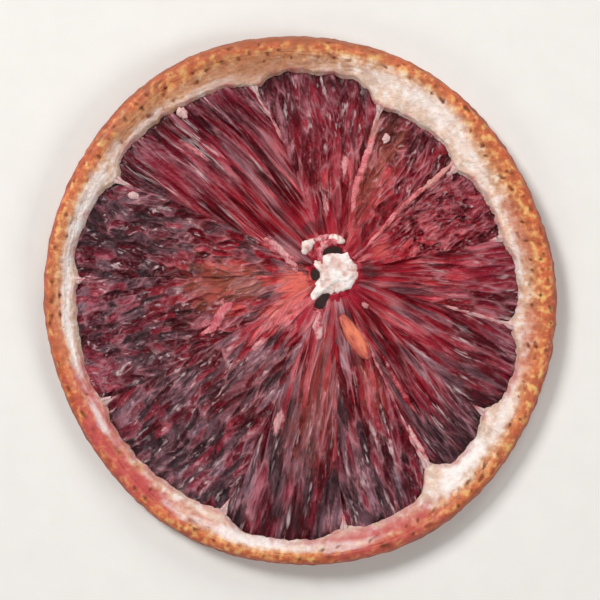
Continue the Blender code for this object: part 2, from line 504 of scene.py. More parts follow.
    def place(self, distance: Array, angle: Array, height: Array, least: float = 0.0) -> Array:
        """Turns places about the core into points in metres.

        Args:
            distance: Distances from the core.
            angle: Directions from the core, before the walls' bends.
            height: Heights over the wavy middle surface.
            least: The least height over the surface that the slice lies on, where it is flattened.

        Returns:
            One row of x, y and z for each place.
        """
        turn = np.radians(angle + self.swing(angle, distance))
        x = self.core_x + distance * np.cos(turn)
        y = self.core_y + distance * np.sin(turn)
        share = np.hypot(x, y) / self.rim_radius
        about = np.arctan2(y, x)
        wave = sum(size * np.cos(lobes * (about - math.radians(at))) for lobes, size, at in self.waves)
        middle = wave * share**2 - self.sag * (1.0 - share**2) - self.tray_height
        return np.column_stack((x, y, np.maximum(middle + height, least))) * MM


# ------------ dense meshes to shape


def deselect() -> None:
    """Leaves nothing selected, so that an operator acts on new geometry alone."""
    bpy.ops.object.select_all(action="DESELECT")


def dense_block(name: str, columns: int, rows: int) -> Piece:
    """A closed block from 0 to 1 on each axis, with a grid of faces on its top and its underside.

    Args:
        name: The object's name.
        columns: Faces along X.
        rows: Faces along Y.

    Returns:
        The block.
    """
    deselect()
    bpy.ops.mesh.primitive_grid_add(x_subdivisions=columns, y_subdivisions=rows, size=1.0, location=(0.5, 0.5, 0.0))
    bpy.ops.object.mode_set(mode="EDIT")
    bpy.ops.mesh.select_all(action="SELECT")
    bpy.ops.mesh.extrude_region_move(TRANSFORM_OT_translate={"value": (0.0, 0.0, 1.0)})
    bpy.ops.object.mode_set(mode="OBJECT")
    return adopt(name)


def dense_ring(name: str, around: int, section: int) -> Piece:
    """A ring about the origin, with a radius of RING_RADIUS and a round section with a radius of 1.

    Args:
        name: The object's name.
        around: Faces round the ring.
        section: Faces round its section.

    Returns:
        The ring.
    """
    deselect()
    bpy.ops.mesh.primitive_torus_add(
        major_segments=around, minor_segments=section, major_radius=RING_RADIUS, minor_radius=1.0
    )
    return adopt(name)


def dense_ball(name: str, around: int, rings: int) -> Piece:
    """A ball of radius 1 about the origin, with its poles on Z.

    Args:
        name: The object's name.
        around: Faces round the ball.
        rings: Rings of faces from pole to pole.

    Returns:
        The ball.
    """
    deselect()
    bpy.ops.mesh.primitive_uv_sphere_add(segments=around, ring_count=rings, radius=1.0)
    return adopt(name)


def adopt(name: str) -> Piece:
    """Names the object that an operator has just added, and puts its place into its mesh.

    Args:
        name: The object's name, which its mesh gets too.

    Returns:
        The object.
    """
    made = bpy.context.active_object
    made.name = made.data.name = name
    bpy.ops.object.transform_apply(location=True, rotation=True, scale=True)
    return made


def points_of(piece: Piece) -> Array:
    """Reads the piece's points.

    Args:
        piece: The piece.

    Returns:
        One row of x, y and z for each point.
    """
    points = np.empty(len(piece.data.vertices) * 3)
    piece.data.vertices.foreach_get("co", points)
    return points.reshape(-1, 3)


def places_in_block(piece: Piece) -> tuple[Array, Array, Array]:
    """Where the points of a dense block lie across it and along it, and whether each is on its top."""
    across, out, top = points_of(piece).T
    return across, out, top > 0.5


def move_points(piece: Piece, points: Array) -> None:
    """Moves the piece's points to these rows."""
    piece.data.vertices.foreach_set("co", points.ravel())
    piece.data.update()


def paint(piece: Piece, name: str, *values: Array) -> None:
    """Stores one number or three at each point, for the materials to read.

    Args:
        piece: The piece.
        name: The attribute's name.
        values: One array, or three for a vector.
    """
    if len(values) == 1:
        layer = piece.data.attributes.new(name, "FLOAT", "POINT")
        layer.data.foreach_set("value", values[0].astype(np.float32))
    else:
        layer = piece.data.attributes.new(name, "FLOAT_VECTOR", "POINT")
        layer.data.foreach_set("vector", np.column_stack(values).astype(np.float32).ravel())


def finish_piece(piece: Piece, material: Material) -> None:
    """Turns the faces outwards, smooths the shading, dresses the piece and hangs it on the slice's body.

    Args:
        piece: The shaped piece.
        material: Its finish.
    """
    deselect()
    piece.select_set(True)
    bpy.context.view_layer.objects.active = piece
    bpy.ops.object.mode_set(mode="EDIT")
    bpy.ops.mesh.select_all(action="SELECT")
    bpy.ops.mesh.normals_make_consistent(inside=False)
    bpy.ops.object.mode_set(mode="OBJECT")
    bpy.ops.object.shade_smooth()
    piece.data.materials.clear()
    piece.data.materials.append(material)
    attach(piece, BODY)
    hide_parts(NODE)
    LOG.info("%s: %d faces", piece.name, len(piece.data.polygons))


@dataclass(frozen=True)
class Section:
    """A closed outline across a ring, given by its corners. Faces tells how many faces follow each corner."""

    faces: tuple[int, ...]

    @property
    def count(self) -> int:
        """Faces round the section."""
        return sum(self.faces)

    def places(self, ring: Piece) -> tuple[Array, Array]:
        """Where each point of a dense ring lies.

        Args:
            ring: The ring, still round.

        Returns:
            Angles round the ring, and places on the section in corners, which start on its inner side and
            run up over the top.
        """
        points = points_of(ring)
        angle = np.degrees(np.arctan2(points[:, 1], points[:, 0])) % FULL_TURN
        inward = RING_RADIUS - np.hypot(points[:, 0], points[:, 1])
        turn = np.arctan2(points[:, 2], inward) / (2 * math.pi) * self.count
        number = np.rint(turn).astype(int) % self.count
        steps = np.concatenate([side + np.arange(faces) / faces for side, faces in enumerate(self.faces)])
        return angle, steps[number]

    def spread(self, step: Array, values: Sequence[Array | float]) -> Array:
        """Reads a value that is given at each corner anywhere on the section, along a smooth curve.

        Args:
            step: Places on the section, in corners.
            values: One value, or one array of values, for each corner.

        Returns:
            The value at each place.
        """
        table = [np.broadcast_to(value, step.shape) for value in values]
        corner = np.floor(step).astype(int)
        knots = [np.choose((corner + shift) % len(table), table) for shift in (-1, 0, 1, 2)]
        return curve_through(knots, step - corner)

    def trace(self, step: Array, corners: Sequence[tuple[Array, float]]) -> Array:
        """Distances and heights anywhere on the section, from those of its corners."""
        return np.stack([self.spread(step, values) for values in zip(*corners)])


# ------------ colours


class Tint(Enum):
    """What coloured a stained patch of the slice."""

    PALE = "pale"
    ORANGE = "orange"
    BROWN = "brown"
    CRIMSON = "crimson"
    DARK = "dark"


@dataclass(frozen=True)
class Stain:
    """A patch of another colour: the angle and distance of its middle, its half sizes, and its strength."""

    angle: float
    distance: float
    half_angle: float
    half_length: float
    strength: float


def patches(*rows: tuple[float, float, float, float, float]) -> tuple[Stain, ...]:
    """Stains of one tint, from a row of numbers each."""
    return tuple(Stain(*row) for row in rows)


FLESH_STAINS = {
    # Pale: bared fibres and walls, and painted highlights. The patches at 137.8, 222.5 and 249.4 degrees paint glints
    # of light, and the faint ones bring out the painted flecks of glints.
    Tint.PALE: patches(
        (74.8, 10.6, 1.1, 4.4, 0.46), (74.8, 14.4, 1.2, 3.4, 1), (110, 8.4, 3.6, 2.6, 0.4), (96.5, 7.4, 2.4, 1.4, 0.74),
        (85, 11.9, 1.8, 1.4, 0.78), (137.8, 20.2, 0.9, 2, 0.62), (222.5, 11.2, 2.4, 1.2, 0.78),
        (249.4, 16.9, 1.5, 1.3, 0.84), (220, 6, 8, 3, 0.5), (256, 5.8, 5, 1.8, 0.5), (156, 6.2, 8, 2.6, 0.5),
        (286.5, 17.9, 4, 2.8, 0.33), (317, 15, 3, 3, 0.22), (158.5, 22, 4, 2.6, 0.26), (136.5, 19.5, 3.5, 3.2, 0.24),
        (345, 18.4, 2, 2, 0.26), (111, 19, 2.5, 2, 0.24),
    ),
    Tint.ORANGE: patches(
        (196, 4.2, 24, 1.9, 1), (214, 6.2, 10, 2.4, 0.6), (262, 13, 9, 7, 0.22), (288, 12.5, 6, 3, 0.25),
        (66, 10, 8, 6, 0.22), (74.8, 10.4, 1.5, 4, 0.85), (28, 5.6, 8, 0.9, 0.5),
    ),
    Tint.BROWN: patches(
        (185, 11.6, 12, 4.4, 0.55), (70, 14, 6, 6, 0.18), (74.8, 14.6, 1.6, 4, 0.6), (67.4, 12.6, 1.4, 2.4, 0.5),
        (64, 16, 1.3, 2.2, 0.5),
    ),
    Tint.CRIMSON: patches(
        (28, 5.6, 11, 1.4, 0.8), (306, 3.4, 24, 1, 0.7), (109, 8.2, 5.5, 3.2, 0.75), (235, 5.4, 5.5, 1.6, 1.1),
        (269, 5.2, 5, 1.8, 0.9), (213, 11.4, 4, 1.2, 0.7), (95, 16, 9, 5, 0.3), (3, 16.5, 10, 5, 0.4),
        (330, 12, 8, 3, 0.3), (145, 19, 7, 5, 0.3),
    ),
    # Dark flesh. The four patches within 6 mm of the core are partly painted shade, beside the plug and its tissue and
    # in small holes there.
    Tint.DARK: patches(
        (307, 20.5, 13, 4.6, 0.5), (324, 19, 8, 3.5, 0.4), (355, 17.2, 8, 3.6, 0.35), (226, 17, 15, 6.5, 0.3),
        (205, 21, 18, 5, 0.3), (286, 20.5, 10, 5, 0.25), (165, 23, 14, 4.5, 0.3), (251, 18, 6, 3.4, 0.45),
        (3, 3.8, 22, 0.9, 0.7), (114, 5.6, 12, 0.7, 0.7), (264, 4.8, 4, 1.4, 0.6), (277, 5.6, 3.5, 2.2, 0.7),
        (306, 12.2, 4, 2.2, 0.4),
    ),
}


def stain_masks(stains: dict[Tint, Sequence[Stain]], angle: Array, distance: Array) -> Masks:
    """How strongly each tint shows at each place.

    Args:
        stains: The patches of each tint.
        angle: Directions from the core.
        distance: Distances from the core.

    Returns:
        One array for each tint, from 0 to 1.
    """
    coarse = SmoothNoise(31, 120).layered_round(angle, distance / 3.0)
    ragged = 0.35 * coarse + 0.45 * SmoothNoise(35, 480).layered_round(angle, distance / 0.45, 2)
    masks = {tint: np.zeros_like(angle) for tint in Tint}
    for tint, rows in stains.items():
        for stain in rows:
            aside = turn_between(angle, stain.angle) / stain.half_angle
            away = np.hypot(aside, (distance - stain.distance) / stain.half_length)
            masks[tint] = np.maximum(masks[tint], stain.strength * smooth_step(1.35, 0.45, away + ragged))
    return masks


def paint_stains(piece: Piece, masks: Masks) -> None:
    """Stores the tints that the finishes read. The dark one is left out, because it only deepens the tone."""
    paint(piece, "stain", masks[Tint.PALE], masks[Tint.ORANGE], masks[Tint.BROWN])
    paint(piece, "crimson", masks[Tint.CRIMSON])


class NodeBench:
    """Adds nodes to one node tree, each in a line."""

    def __init__(self, tree: Tree) -> None:
        """Takes the tree to add to."""
        self.tree = tree

    def add(self, kind: str, inputs: dict[str | int, object] | None = None, **settings: object) -> Node:
        """Adds a node.

        Args:
            kind: The node's type.
            inputs: Sockets to set, by name or number. A socket given here is linked, and anything else is stored.
            settings: Properties of the node.

        Returns:
            The node.
        """
        node = self.tree.nodes.new(kind)
        for name, value in settings.items():
            setattr(node, name, value)
        self.feed(node, inputs or {})
        return node

    def feed(self, node: Node, inputs: dict[str | int, object]) -> None:
        """Sets a node's inputs.

        Args:
            node: The node.
            inputs: Sockets to set, by name or number. A socket given here is linked, and anything else is stored.
        """
        for name, value in inputs.items():
            if isinstance(value, Socket):
                self.tree.links.new(value, node.inputs[name])
            else:
                node.inputs[name].default_value = value

    def place(self) -> Socket:
        """Reads the place on the object."""
        return self.add("ShaderNodeTexCoord").outputs["Object"]

    def mottle(self, group: Tree, scale: float, depth: float) -> Socket:
        """Places the shared mottling, which then varies by depth to either side of 0."""
        inputs = {"Scale": scale, "Low": -depth, "High": depth}
        return self.add("ShaderNodeGroup", inputs, node_tree=group).outputs["Value"]

    def scaled(self, colour: object, by: object) -> Socket:
        """Multiplies a colour by a number."""
        return self.add("ShaderNodeVectorMath", {0: colour, "Scale": by}, operation="SCALE").outputs[0]

    def grain(self) -> Socket:
        """Reads the vector that runs along a piece's fibres."""
        return self.attribute("grain").outputs["Vector"]

    def attribute(self, name: str) -> Node:
        """Reads an attribute that a piece carries."""
        return self.add("ShaderNodeAttribute", attribute_name=name)

    def number(self, name: str) -> Socket:
        """Reads a number that a piece carries."""
        return self.attribute(name).outputs["Fac"]

    def parts(self, name: str) -> tuple[Socket, ...]:
        """Reads the three numbers of a vector that a piece carries."""
        split = self.add("ShaderNodeSeparateXYZ", {0: self.attribute(name).outputs["Vector"]})
        return tuple(split.outputs)

    def maths(self, operation: str, *values: object) -> Socket:
        """Adds a Math node on one or more values."""
        return self.add("ShaderNodeMath", dict(enumerate(values)), operation=operation).outputs[0]

    def times(self, *values: object) -> Socket:
        """Multiplies two values."""
        return self.maths("MULTIPLY", *values)

    def remap(self, value: object, low: float, high: float, to_low: float = 0.0, to_high: float = 1.0) -> Socket:
        """Maps low to to_low and high to to_high, and holds at both ends."""
        inputs = {"Value": value, "From Min": low, "From Max": high, "To Min": to_low, "To Max": to_high}
        return self.add("ShaderNodeMapRange", inputs).outputs["Result"]

    def noise(self, vector: object, scale: float, detail: float = 3.0, rough: float = 0.55) -> Socket:
        """Adds a noise texture and gives its value."""
        inputs = {"Vector": vector, "Scale": scale, "Detail": detail, "Roughness": rough}
        return self.add("ShaderNodeTexNoise", inputs).outputs["Fac"]

    def blend(self, share: object, low: object, high: object, kind: str = "MIX") -> Socket:
        """Mixes two colours by a share."""
        node = self.add("ShaderNodeMix", {0: share, 6: rgba(low), 7: rgba(high)}, data_type="RGBA", blend_type=kind)
        return node.outputs[2]

    def ramp(self, value: object, stops: Stops) -> Socket:
        """Turns a value into a colour.

        Args:
            value: The value.
            stops: The colours, each with its place.

        Returns:
            The colour.
        """
        node = self.add("ShaderNodeValToRGB", {"Fac": value})
        elements = node.color_ramp.elements
        while len(elements) < len(stops):
            elements.new(0.5)
        for element, (place, colour) in zip(elements, stops):
            element.position = place
            element.color = rgba(colour)
        return node.outputs["Color"]

    def relief(self, height: object, depth: float) -> Socket:
        """Turns a height, times a depth in metres, into a normal."""
        return self.add("ShaderNodeBump", {"Height": height, "Distance": depth}).outputs["Normal"]


def rgba(colour: object) -> object:
    """A colour with its alpha. A socket is given back as it is."""
    return (*colour, 1.0) if isinstance(colour, tuple) and len(colour) == 3 else colour


def srgb(red: int, green: int, blue: int) -> Colour:
    """A colour as the shader takes it, from its values of 0 to 255 on a screen."""
    parts = (part / 255 for part in (red, green, blue))
    return tuple(part / 12.92 if part < 0.04045 else ((part + 0.055) / 1.055) ** 2.4 for part in parts)


def new_material(name: str) -> tuple[Material, NodeBench, Node]:
    """Makes a material.

    Args:
        name: The material's name.

    Returns:
        The material, a bench for its nodes, and its Principled shader.
    """
    material = bpy.data.materials.new(name)
    material.use_nodes = True
    return material, NodeBench(material.node_tree), material.node_tree.nodes["Principled BSDF"]


def fine_mottle_group() -> Tree:
    """Builds the shader group that every finish here shares: fine mottling on the object's own coordinates.

    Returns:
        The group. It takes a scale and the values at the ends of its range, and gives a value.
    """
    group = bpy.data.node_groups.new("fine_mottle", "ShaderNodeTree")
    for name in ("Scale", "Low", "High"):
        group.interface.new_socket(name, in_out="INPUT", socket_type="NodeSocketFloat")
    group.interface.new_socket("Value", in_out="OUTPUT", socket_type="NodeSocketFloat")
    bench = NodeBench(group)
    given = bench.add("NodeGroupInput").outputs
    noise = bench.noise(bench.place(), given["Scale"], 4.0, 0.6)
    bench.add("NodeGroupOutput", {"Value": bench.remap(noise, 0.3, 0.7, given["Low"], given["High"])})
    return group


@dataclass(frozen=True)
class FleshFinish:
    """Dried flesh: glossy sacs from nearly black to dusty pink between thin membranes, redder towards the core.

    Attributes:
        name: The material's name.
        mottle: The shared mottling group.
        outer: Colours of the sacs near the pith, from the darkest tone to the lightest, with their places.
        inner: The same at the core.
        film_outer: The membranes near the pith.
        film_inner: The membranes at the core.
        painted_glint: Flecks that are partly bare, dry membrane and partly painted highlights, where glints of light
            would lie.
        purple: What purplish sacs are multiplied by.
        rust: What rusty sacs are multiplied by.
        pale: The dusty pink of bared fibres, also used for pale patches painted as glints.
        white: The palest fibres and walls, and the brightest painted glints.
        orange: The orange of thin, bleached flesh.
        brown: The brown of browned flesh.
        crimson: The crimson of flesh that kept its colour.
        mottle_depth: How far the mottling shifts the passage from outer to inner colours.
        fibre_scale: How fine the fibres along the sacs are. The other scales are those of their own patterns.
        relief: Depth of the fine relief, in metres.
        specular: How strongly the bare surface shines.
        coat: How strong the gloss over it is, with its roughness.
    """

    name: str
    mottle: Tree
    outer: Stops = (
        (0.0, srgb(52, 4, 14)), (0.35, srgb(90, 18, 32)), (0.72, srgb(132, 50, 64)), (1.0, srgb(178, 102, 114)),
    )
    inner: Stops = (
        (0.0, srgb(96, 12, 22)), (0.35, srgb(142, 28, 42)), (0.72, srgb(190, 68, 78)), (1.0, srgb(234, 126, 130)),
    )
    film_outer: Colour = srgb(192, 128, 138)
    film_inner: Colour = srgb(228, 134, 138)
    painted_glint: Colour = srgb(236, 204, 206)
    purple: Colour = (0.70, 0.99, 1.08)
    rust: Colour = (1.12, 0.70, 0.68)
    pale: Colour = srgb(246, 144, 152)
    white: Colour = srgb(236, 208, 202)
    orange: Colour = srgb(255, 124, 110)
    brown: Colour = srgb(200, 116, 90)
    crimson: Colour = srgb(188, 30, 58)
    mottle_scale: float = 900.0
    mottle_depth: float = 0.10
    fibre_scale: float = 3.0
    wrinkle_scale: float = 9.0
    painted_glint_scale: float = 2.2
    clump_scale: float = 0.7
    relief: float = 0.00028
    specular: float = 0.18
    coat: float = 0.08
    coat_roughness: float = 0.12

    def build(self) -> Material:
        """Builds the material.

        Returns:
            The material.
        """
        material, bench, shader = new_material(self.name)
        tone, heart, hue = bench.parts("sac")
        grain = bench.grain()
        fibre = bench.noise(grain, self.fibre_scale, 4.0, 0.65)
        wrinkle = bench.noise(grain, self.wrinkle_scale, 4.0, 0.65)
        redness = bench.maths("ADD", heart, bench.mottle(self.mottle, self.mottle_scale, self.mottle_depth))
        calm = bench.remap(heart, 0.80, 1.0, 1.0, 0.50)
        share = bench.maths("ADD", tone, bench.times(bench.remap(fibre, 0.30, 0.70, -0.30, 0.30), calm))
        line = self.draw_membranes(bench, wrinkle, calm)
        shown = bench.times(line, bench.remap(share, 0.0, 0.55, 0.30, 1.0))
        film = bench.blend(redness, self.film_outer, self.film_inner)
        lined = bench.blend(shown, self.colour_sacs(bench, share, redness, hue), film)
        # Painted highlights: pale flecks put into the colour where glints of light would lie, pinker towards the core.
        fleck = bench.blend(bench.remap(redness, 0.5, 1.0), self.painted_glint, self.film_inner)
        flecked = bench.blend(self.scatter_painted_glints(bench, grain, wrinkle, calm), lined, fleck)
        height = bench.maths("MULTIPLY_ADD", line, 0.5, bench.maths("MULTIPLY_ADD", wrinkle, 0.5, fibre))
        bench.feed(shader, {
            "Base Color": self.stain(bench, flecked, wrinkle),
            "Roughness": bench.remap(share, 0.1, 1.0, 0.22, 0.46),
            "Normal": bench.relief(height, self.relief),
            "Specular IOR Level": self.specular,
            "Coat Weight": self.coat,
            "Coat Roughness": self.coat_roughness,
        })
        return material

    def colour_sacs(self, bench: NodeBench, share: object, redness: object, hue: object) -> Socket:
        """Colours the sacs by their tone, greys and purples some of them and turns others rusty.

        Args:
            bench: The material's bench.
            share: How light a place is.
            redness: How far its colours are those at the core.
            hue: The number that picks the sac's hue.

        Returns:
            The colour, with what is left crimson.
        """
        sacs = bench.blend(redness, bench.ramp(share, self.outer), bench.ramp(share, self.inner))
        greyed = {"Color": sacs, "Saturation": bench.remap(hue, 0.0, 0.45, 0.78, 1.06)}
        sacs = bench.add("ShaderNodeHueSaturation", greyed).outputs["Color"]
        sacs = bench.blend(bench.remap(hue, 0.0, 0.4, 0.9, 0.0), sacs, self.purple, "MULTIPLY")
        sacs = bench.blend(bench.remap(hue, 0.65, 1.0, 0.0, 0.9), sacs, self.rust, "MULTIPLY")
        return bench.blend(bench.times(bench.number("crimson"), 0.8), sacs, self.crimson)

    def draw_membranes(self, bench: NodeBench, wrinkle: object, calm: object) -> Socket:
        """Draws the broken lines of membrane between sacs.

        Args:
            bench: The material's bench.
            wrinkle: The fine noise along the sacs.
            calm: How strongly patterns show, which is less at the core.

        Returns:
            How much membrane shows, from 0 to 1.
        """
        sac_border, small_border, uneven = bench.parts("film")
        rough = bench.maths("ADD", uneven, bench.remap(wrinkle, 0.3, 0.7, -0.5, 0.5))
        broken = bench.remap(rough, -0.45, 0.45, 0.05, 1.0)
        wide = bench.remap(sac_border, 0.04, 0.28, 0.95, 0.0)
        thin = bench.remap(small_border, 0.03, 0.22, 0.55, 0.0)
        return bench.times(bench.maths("MAXIMUM", wide, thin), bench.times(broken, calm))

    def scatter_painted_glints(self, bench: NodeBench, grain: object, wrinkle: object, calm: object) -> Socket:
        """Scatters clumps of painted highlights, pale flecks where glints would lie, more of them where the flesh is a
        little pale and none where it is bare.

        Args:
            bench: The material's bench.
            grain: The vector along the sacs.
            wrinkle: The fine noise along them.
            calm: How strongly patterns show, which is less at the core.

        Returns:
            How much of a fleck shows, from 0 to 1.
        """
        pale = bench.parts("stain")[0]
        scattered = bench.maths("MULTIPLY_ADD", pale, 0.45, bench.noise(grain, self.painted_glint_scale, 2.0, 0.6))
        clump = bench.remap(bench.noise(grain, self.clump_scale, 1.0), 0.44, 0.58, 0.15, 1.0)
        spared = bench.times(calm, bench.remap(pale, 0.36, 0.48, 1.0, 0.0))
        fleck = bench.times(bench.remap(scattered, 0.575, 0.715), bench.times(clump, spared))
        return bench.times(fleck, bench.remap(wrinkle, 0.32, 0.58, 0.3, 1.0))

    def stain(self, bench: NodeBench, colour: object, wrinkle: object) -> Socket:
        """Stains the flesh orange, bares its fibres, paints a few glints of light as pale patches and browns it, where
        the piece's attributes say so.

        Args:
            bench: The material's bench.
            colour: The flesh's colour.
            wrinkle: The fine noise along the sacs, which breaks bared fibres up.

        Returns:
            The stained colour.
        """
        pale, orange, brown = bench.parts("stain")
        warmed = bench.blend(bench.times(orange, 0.85), colour, self.orange)
        fibrous = bench.times(pale, bench.remap(wrinkle, 0.36, 0.64, 0.66, 1.14))
        bared = bench.blend(bench.remap(fibrous, 0.28, 0.60, 0.0, 0.85), warmed, self.pale)
        bleached = bench.blend(bench.remap(fibrous, 0.55, 1.0), bared, self.white)
        return bench.blend(bench.times(brown, 0.8), bleached, self.brown)


@dataclass(frozen=True)
class RindFinish:
    """Peel and pith, which pass into each other: one range of colours by the depth in from the skin.

    Attributes:
        name: The material's name.
        mottle: The shared mottling group.
        roughness: The surface's roughness.
        coat: How waxy it is.
        relief: Depth of the fine relief, in metres.
        layers: Colours by depth, with their places.
        layer_pace: How far along the colours a depth of 1 lies, where amber passes into cream.
        gland: The oil glands.
        gold: What the lightest specks of the amber band are blended with.
        shade: What the darkest specks are blended with.
        pale: The whitest pith.
        pink: Pith and peel that juice has stained.
        beige: Pith that dried beige.
        brown: Peel and pith that browned, and painted shadow along the skin's edge.
        blush: Pith within half a millimetre of the flesh.
        sponge_scale: How fine the sponge of the pith is. The other scales are those of their own patterns.
        specular: How strongly the bare surface shines.
        coat_roughness: The wax's roughness.
    """

    name: str
    mottle: Tree
    roughness: float
    coat: float
    relief: float
    layers: Stops = (
        (0.0, srgb(164, 66, 40)), (0.10, srgb(206, 96, 56)), (0.28, srgb(216, 112, 68)), (0.44, srgb(218, 138, 90)),
        (0.58, srgb(230, 176, 138)), (0.85, srgb(238, 206, 186)),
    )
    layer_pace: float = 0.44
    gland: Colour = srgb(116, 50, 18)
    gold: Colour = srgb(250, 206, 124)
    shade: Colour = srgb(150, 76, 44)
    pale: Colour = srgb(254, 246, 242)
    pink: Colour = srgb(196, 66, 84)
    beige: Colour = srgb(186, 126, 92)
    brown: Colour = srgb(156, 86, 52)
    blush: Colour = srgb(192, 98, 104)
    mottle_scale: float = 900.0
    sponge_scale: float = 2600.0
    speck_scale: float = 1250.0
    blotch_scale: float = 450.0
    specular: float = 0.3
    coat_roughness: float = 0.35

    def build(self) -> Material:
        """Builds the material.

        Returns:
            The material.
        """
        material, bench, shader = new_material(self.name)
        depth, gland, inner = bench.parts("rind")
        pale, beige, brown = bench.parts("stain")
        mottled = bench.mottle(self.mottle, self.mottle_scale, 1.0)
        place = bench.place()
        sponge = bench.noise(place, self.sponge_scale, 4.0, 0.65)
        blotch = bench.noise(place, self.blotch_scale, 3.0, 0.6)
        ragged = bench.maths("MULTIPLY_ADD", mottled, 0.20, depth)
        base = bench.ramp(bench.times(ragged, self.layer_pace), self.layers)
        cloud = bench.times(bench.remap(blotch, 0.35, 0.65, 0.82, 1.08), bench.remap(sponge, 0.3, 0.7, 0.86, 1.10))
        stained = self.speckle(bench, bench.scaled(base, cloud), bench.noise(place, self.speck_scale, 2.0, 0.5), depth)
        stained = bench.blend(bench.times(beige, 0.8), stained, self.beige)
        # Browned peel and pith, and painted shadow along the skin's edge.
        stained = bench.blend(bench.times(brown, 0.8), stained, self.brown)
        stained = bench.blend(bench.times(bench.number("crimson"), 0.7), stained, self.pink)
        stained = bench.blend(bench.times(pale, bench.remap(sponge, 0.35, 0.65, 0.70, 1.0)), stained, self.pale)
        near_flesh = bench.times(bench.remap(inner, 0.05, 0.45, 0.60, 0.0), bench.remap(blotch, 0.44, 0.60))
        stained = bench.blend(near_flesh, stained, self.blush)
        bench.feed(shader, {
            "Base Color": bench.blend(bench.remap(gland, 0.45, 1.35, 0.90, 0.0), stained, self.gland),
            "Roughness": self.roughness,
            "Normal": bench.relief(bench.maths("MULTIPLY_ADD", mottled, 0.3, sponge), self.relief),
            "Specular IOR Level": self.specular,
            "Coat Weight": self.coat,
            "Coat Roughness": self.coat_roughness,
        })
        return material

    def speckle(self, bench: NodeBench, colour: object, speck: object, depth: object) -> Socket:
        """Strews light specks, gold in the amber and white in the cream, and dark ones, fewer in the cream.

        Args:
            bench: The material's bench.
            colour: The rind's colour.
            speck: The noise that places the specks.
            depth: Depth under the skin, with 1 where amber passes into cream.

        Returns:
            The speckled colour.
        """
        bright = bench.times(bench.remap(speck, 0.50, 0.70, 0.0, 0.72), bench.remap(depth, 0.12, 0.35, 0.1, 1.0))
        lit = bench.blend(bright, colour, bench.blend(bench.remap(depth, 0.8, 1.5), self.gold, self.pale))
        murky = bench.times(bench.remap(speck, 0.30, 0.50, 0.60, 0.0), bench.remap(depth, 1.1, 1.9, 1.0, 0.3))
        return bench.blend(murky, lit, self.shade)


@dataclass(frozen=True)
class SeedFinish:
    """The seed's thin orange coat, painted lighter on the wrinkles' crests and darker between them, as painted light
    and shade.
    """

    name: str
    mottle: Tree
    light: Colour = srgb(242, 134, 102)
    dark: Colour = srgb(172, 62, 60)
    mottle_scale: float = 700.0
    mottle_depth: float = 0.15
    grain_scale: float = 3.0
    relief: float = 0.0003
    roughness: float = 0.4

    def build(self) -> Material:
        """Builds the material.

        Returns:
            The material.
        """
        material, bench, shader = new_material(self.name)
        mottled = bench.mottle(self.mottle, self.mottle_scale, self.mottle_depth)
        grain = bench.noise(bench.grain(), self.grain_scale, 3.0, 0.6)
        # Painted light and shade: the grain that raises the relief also lightens its crests.
        share = bench.maths("ADD", bench.remap(grain, 0.35, 0.65, -0.12, 0.12), mottled)
        share = bench.maths("ADD", share, bench.number("crown"))
        bench.feed(shader, {
            "Base Color": bench.blend(share, self.dark, self.light),
            "Roughness": self.roughness,
            "Normal": bench.relief(grain, self.relief),
        })
        return material


# ------------ the pieces


def core_share(distance: Array) -> Array:
    """1 where the flesh passes under the core's collar, falling to 0 outside it."""
    return smooth_step(3.9, 2.6, distance)


@dataclass(frozen=True)
class FleshSurface:
    """What a cut face of the flesh gives at each place.

    Attributes:
        height: Height over the middle surface.
        tone: How light the sac is, from 0 to 1.
        heart: How near the core the place is, from 0 to 1.
        hue: A number from 0 to 1 that picks the sac's hue.
        sac_border: How far the place is from the border of its sac, in sacs.
        small_border: The same for the small sacs between.
        uneven: Slow noise along the sacs.
    """

    height: Array
    tone: Array
    heart: Array
    hue: Array
    sac_border: Array
    small_border: Array
    uneven: Array


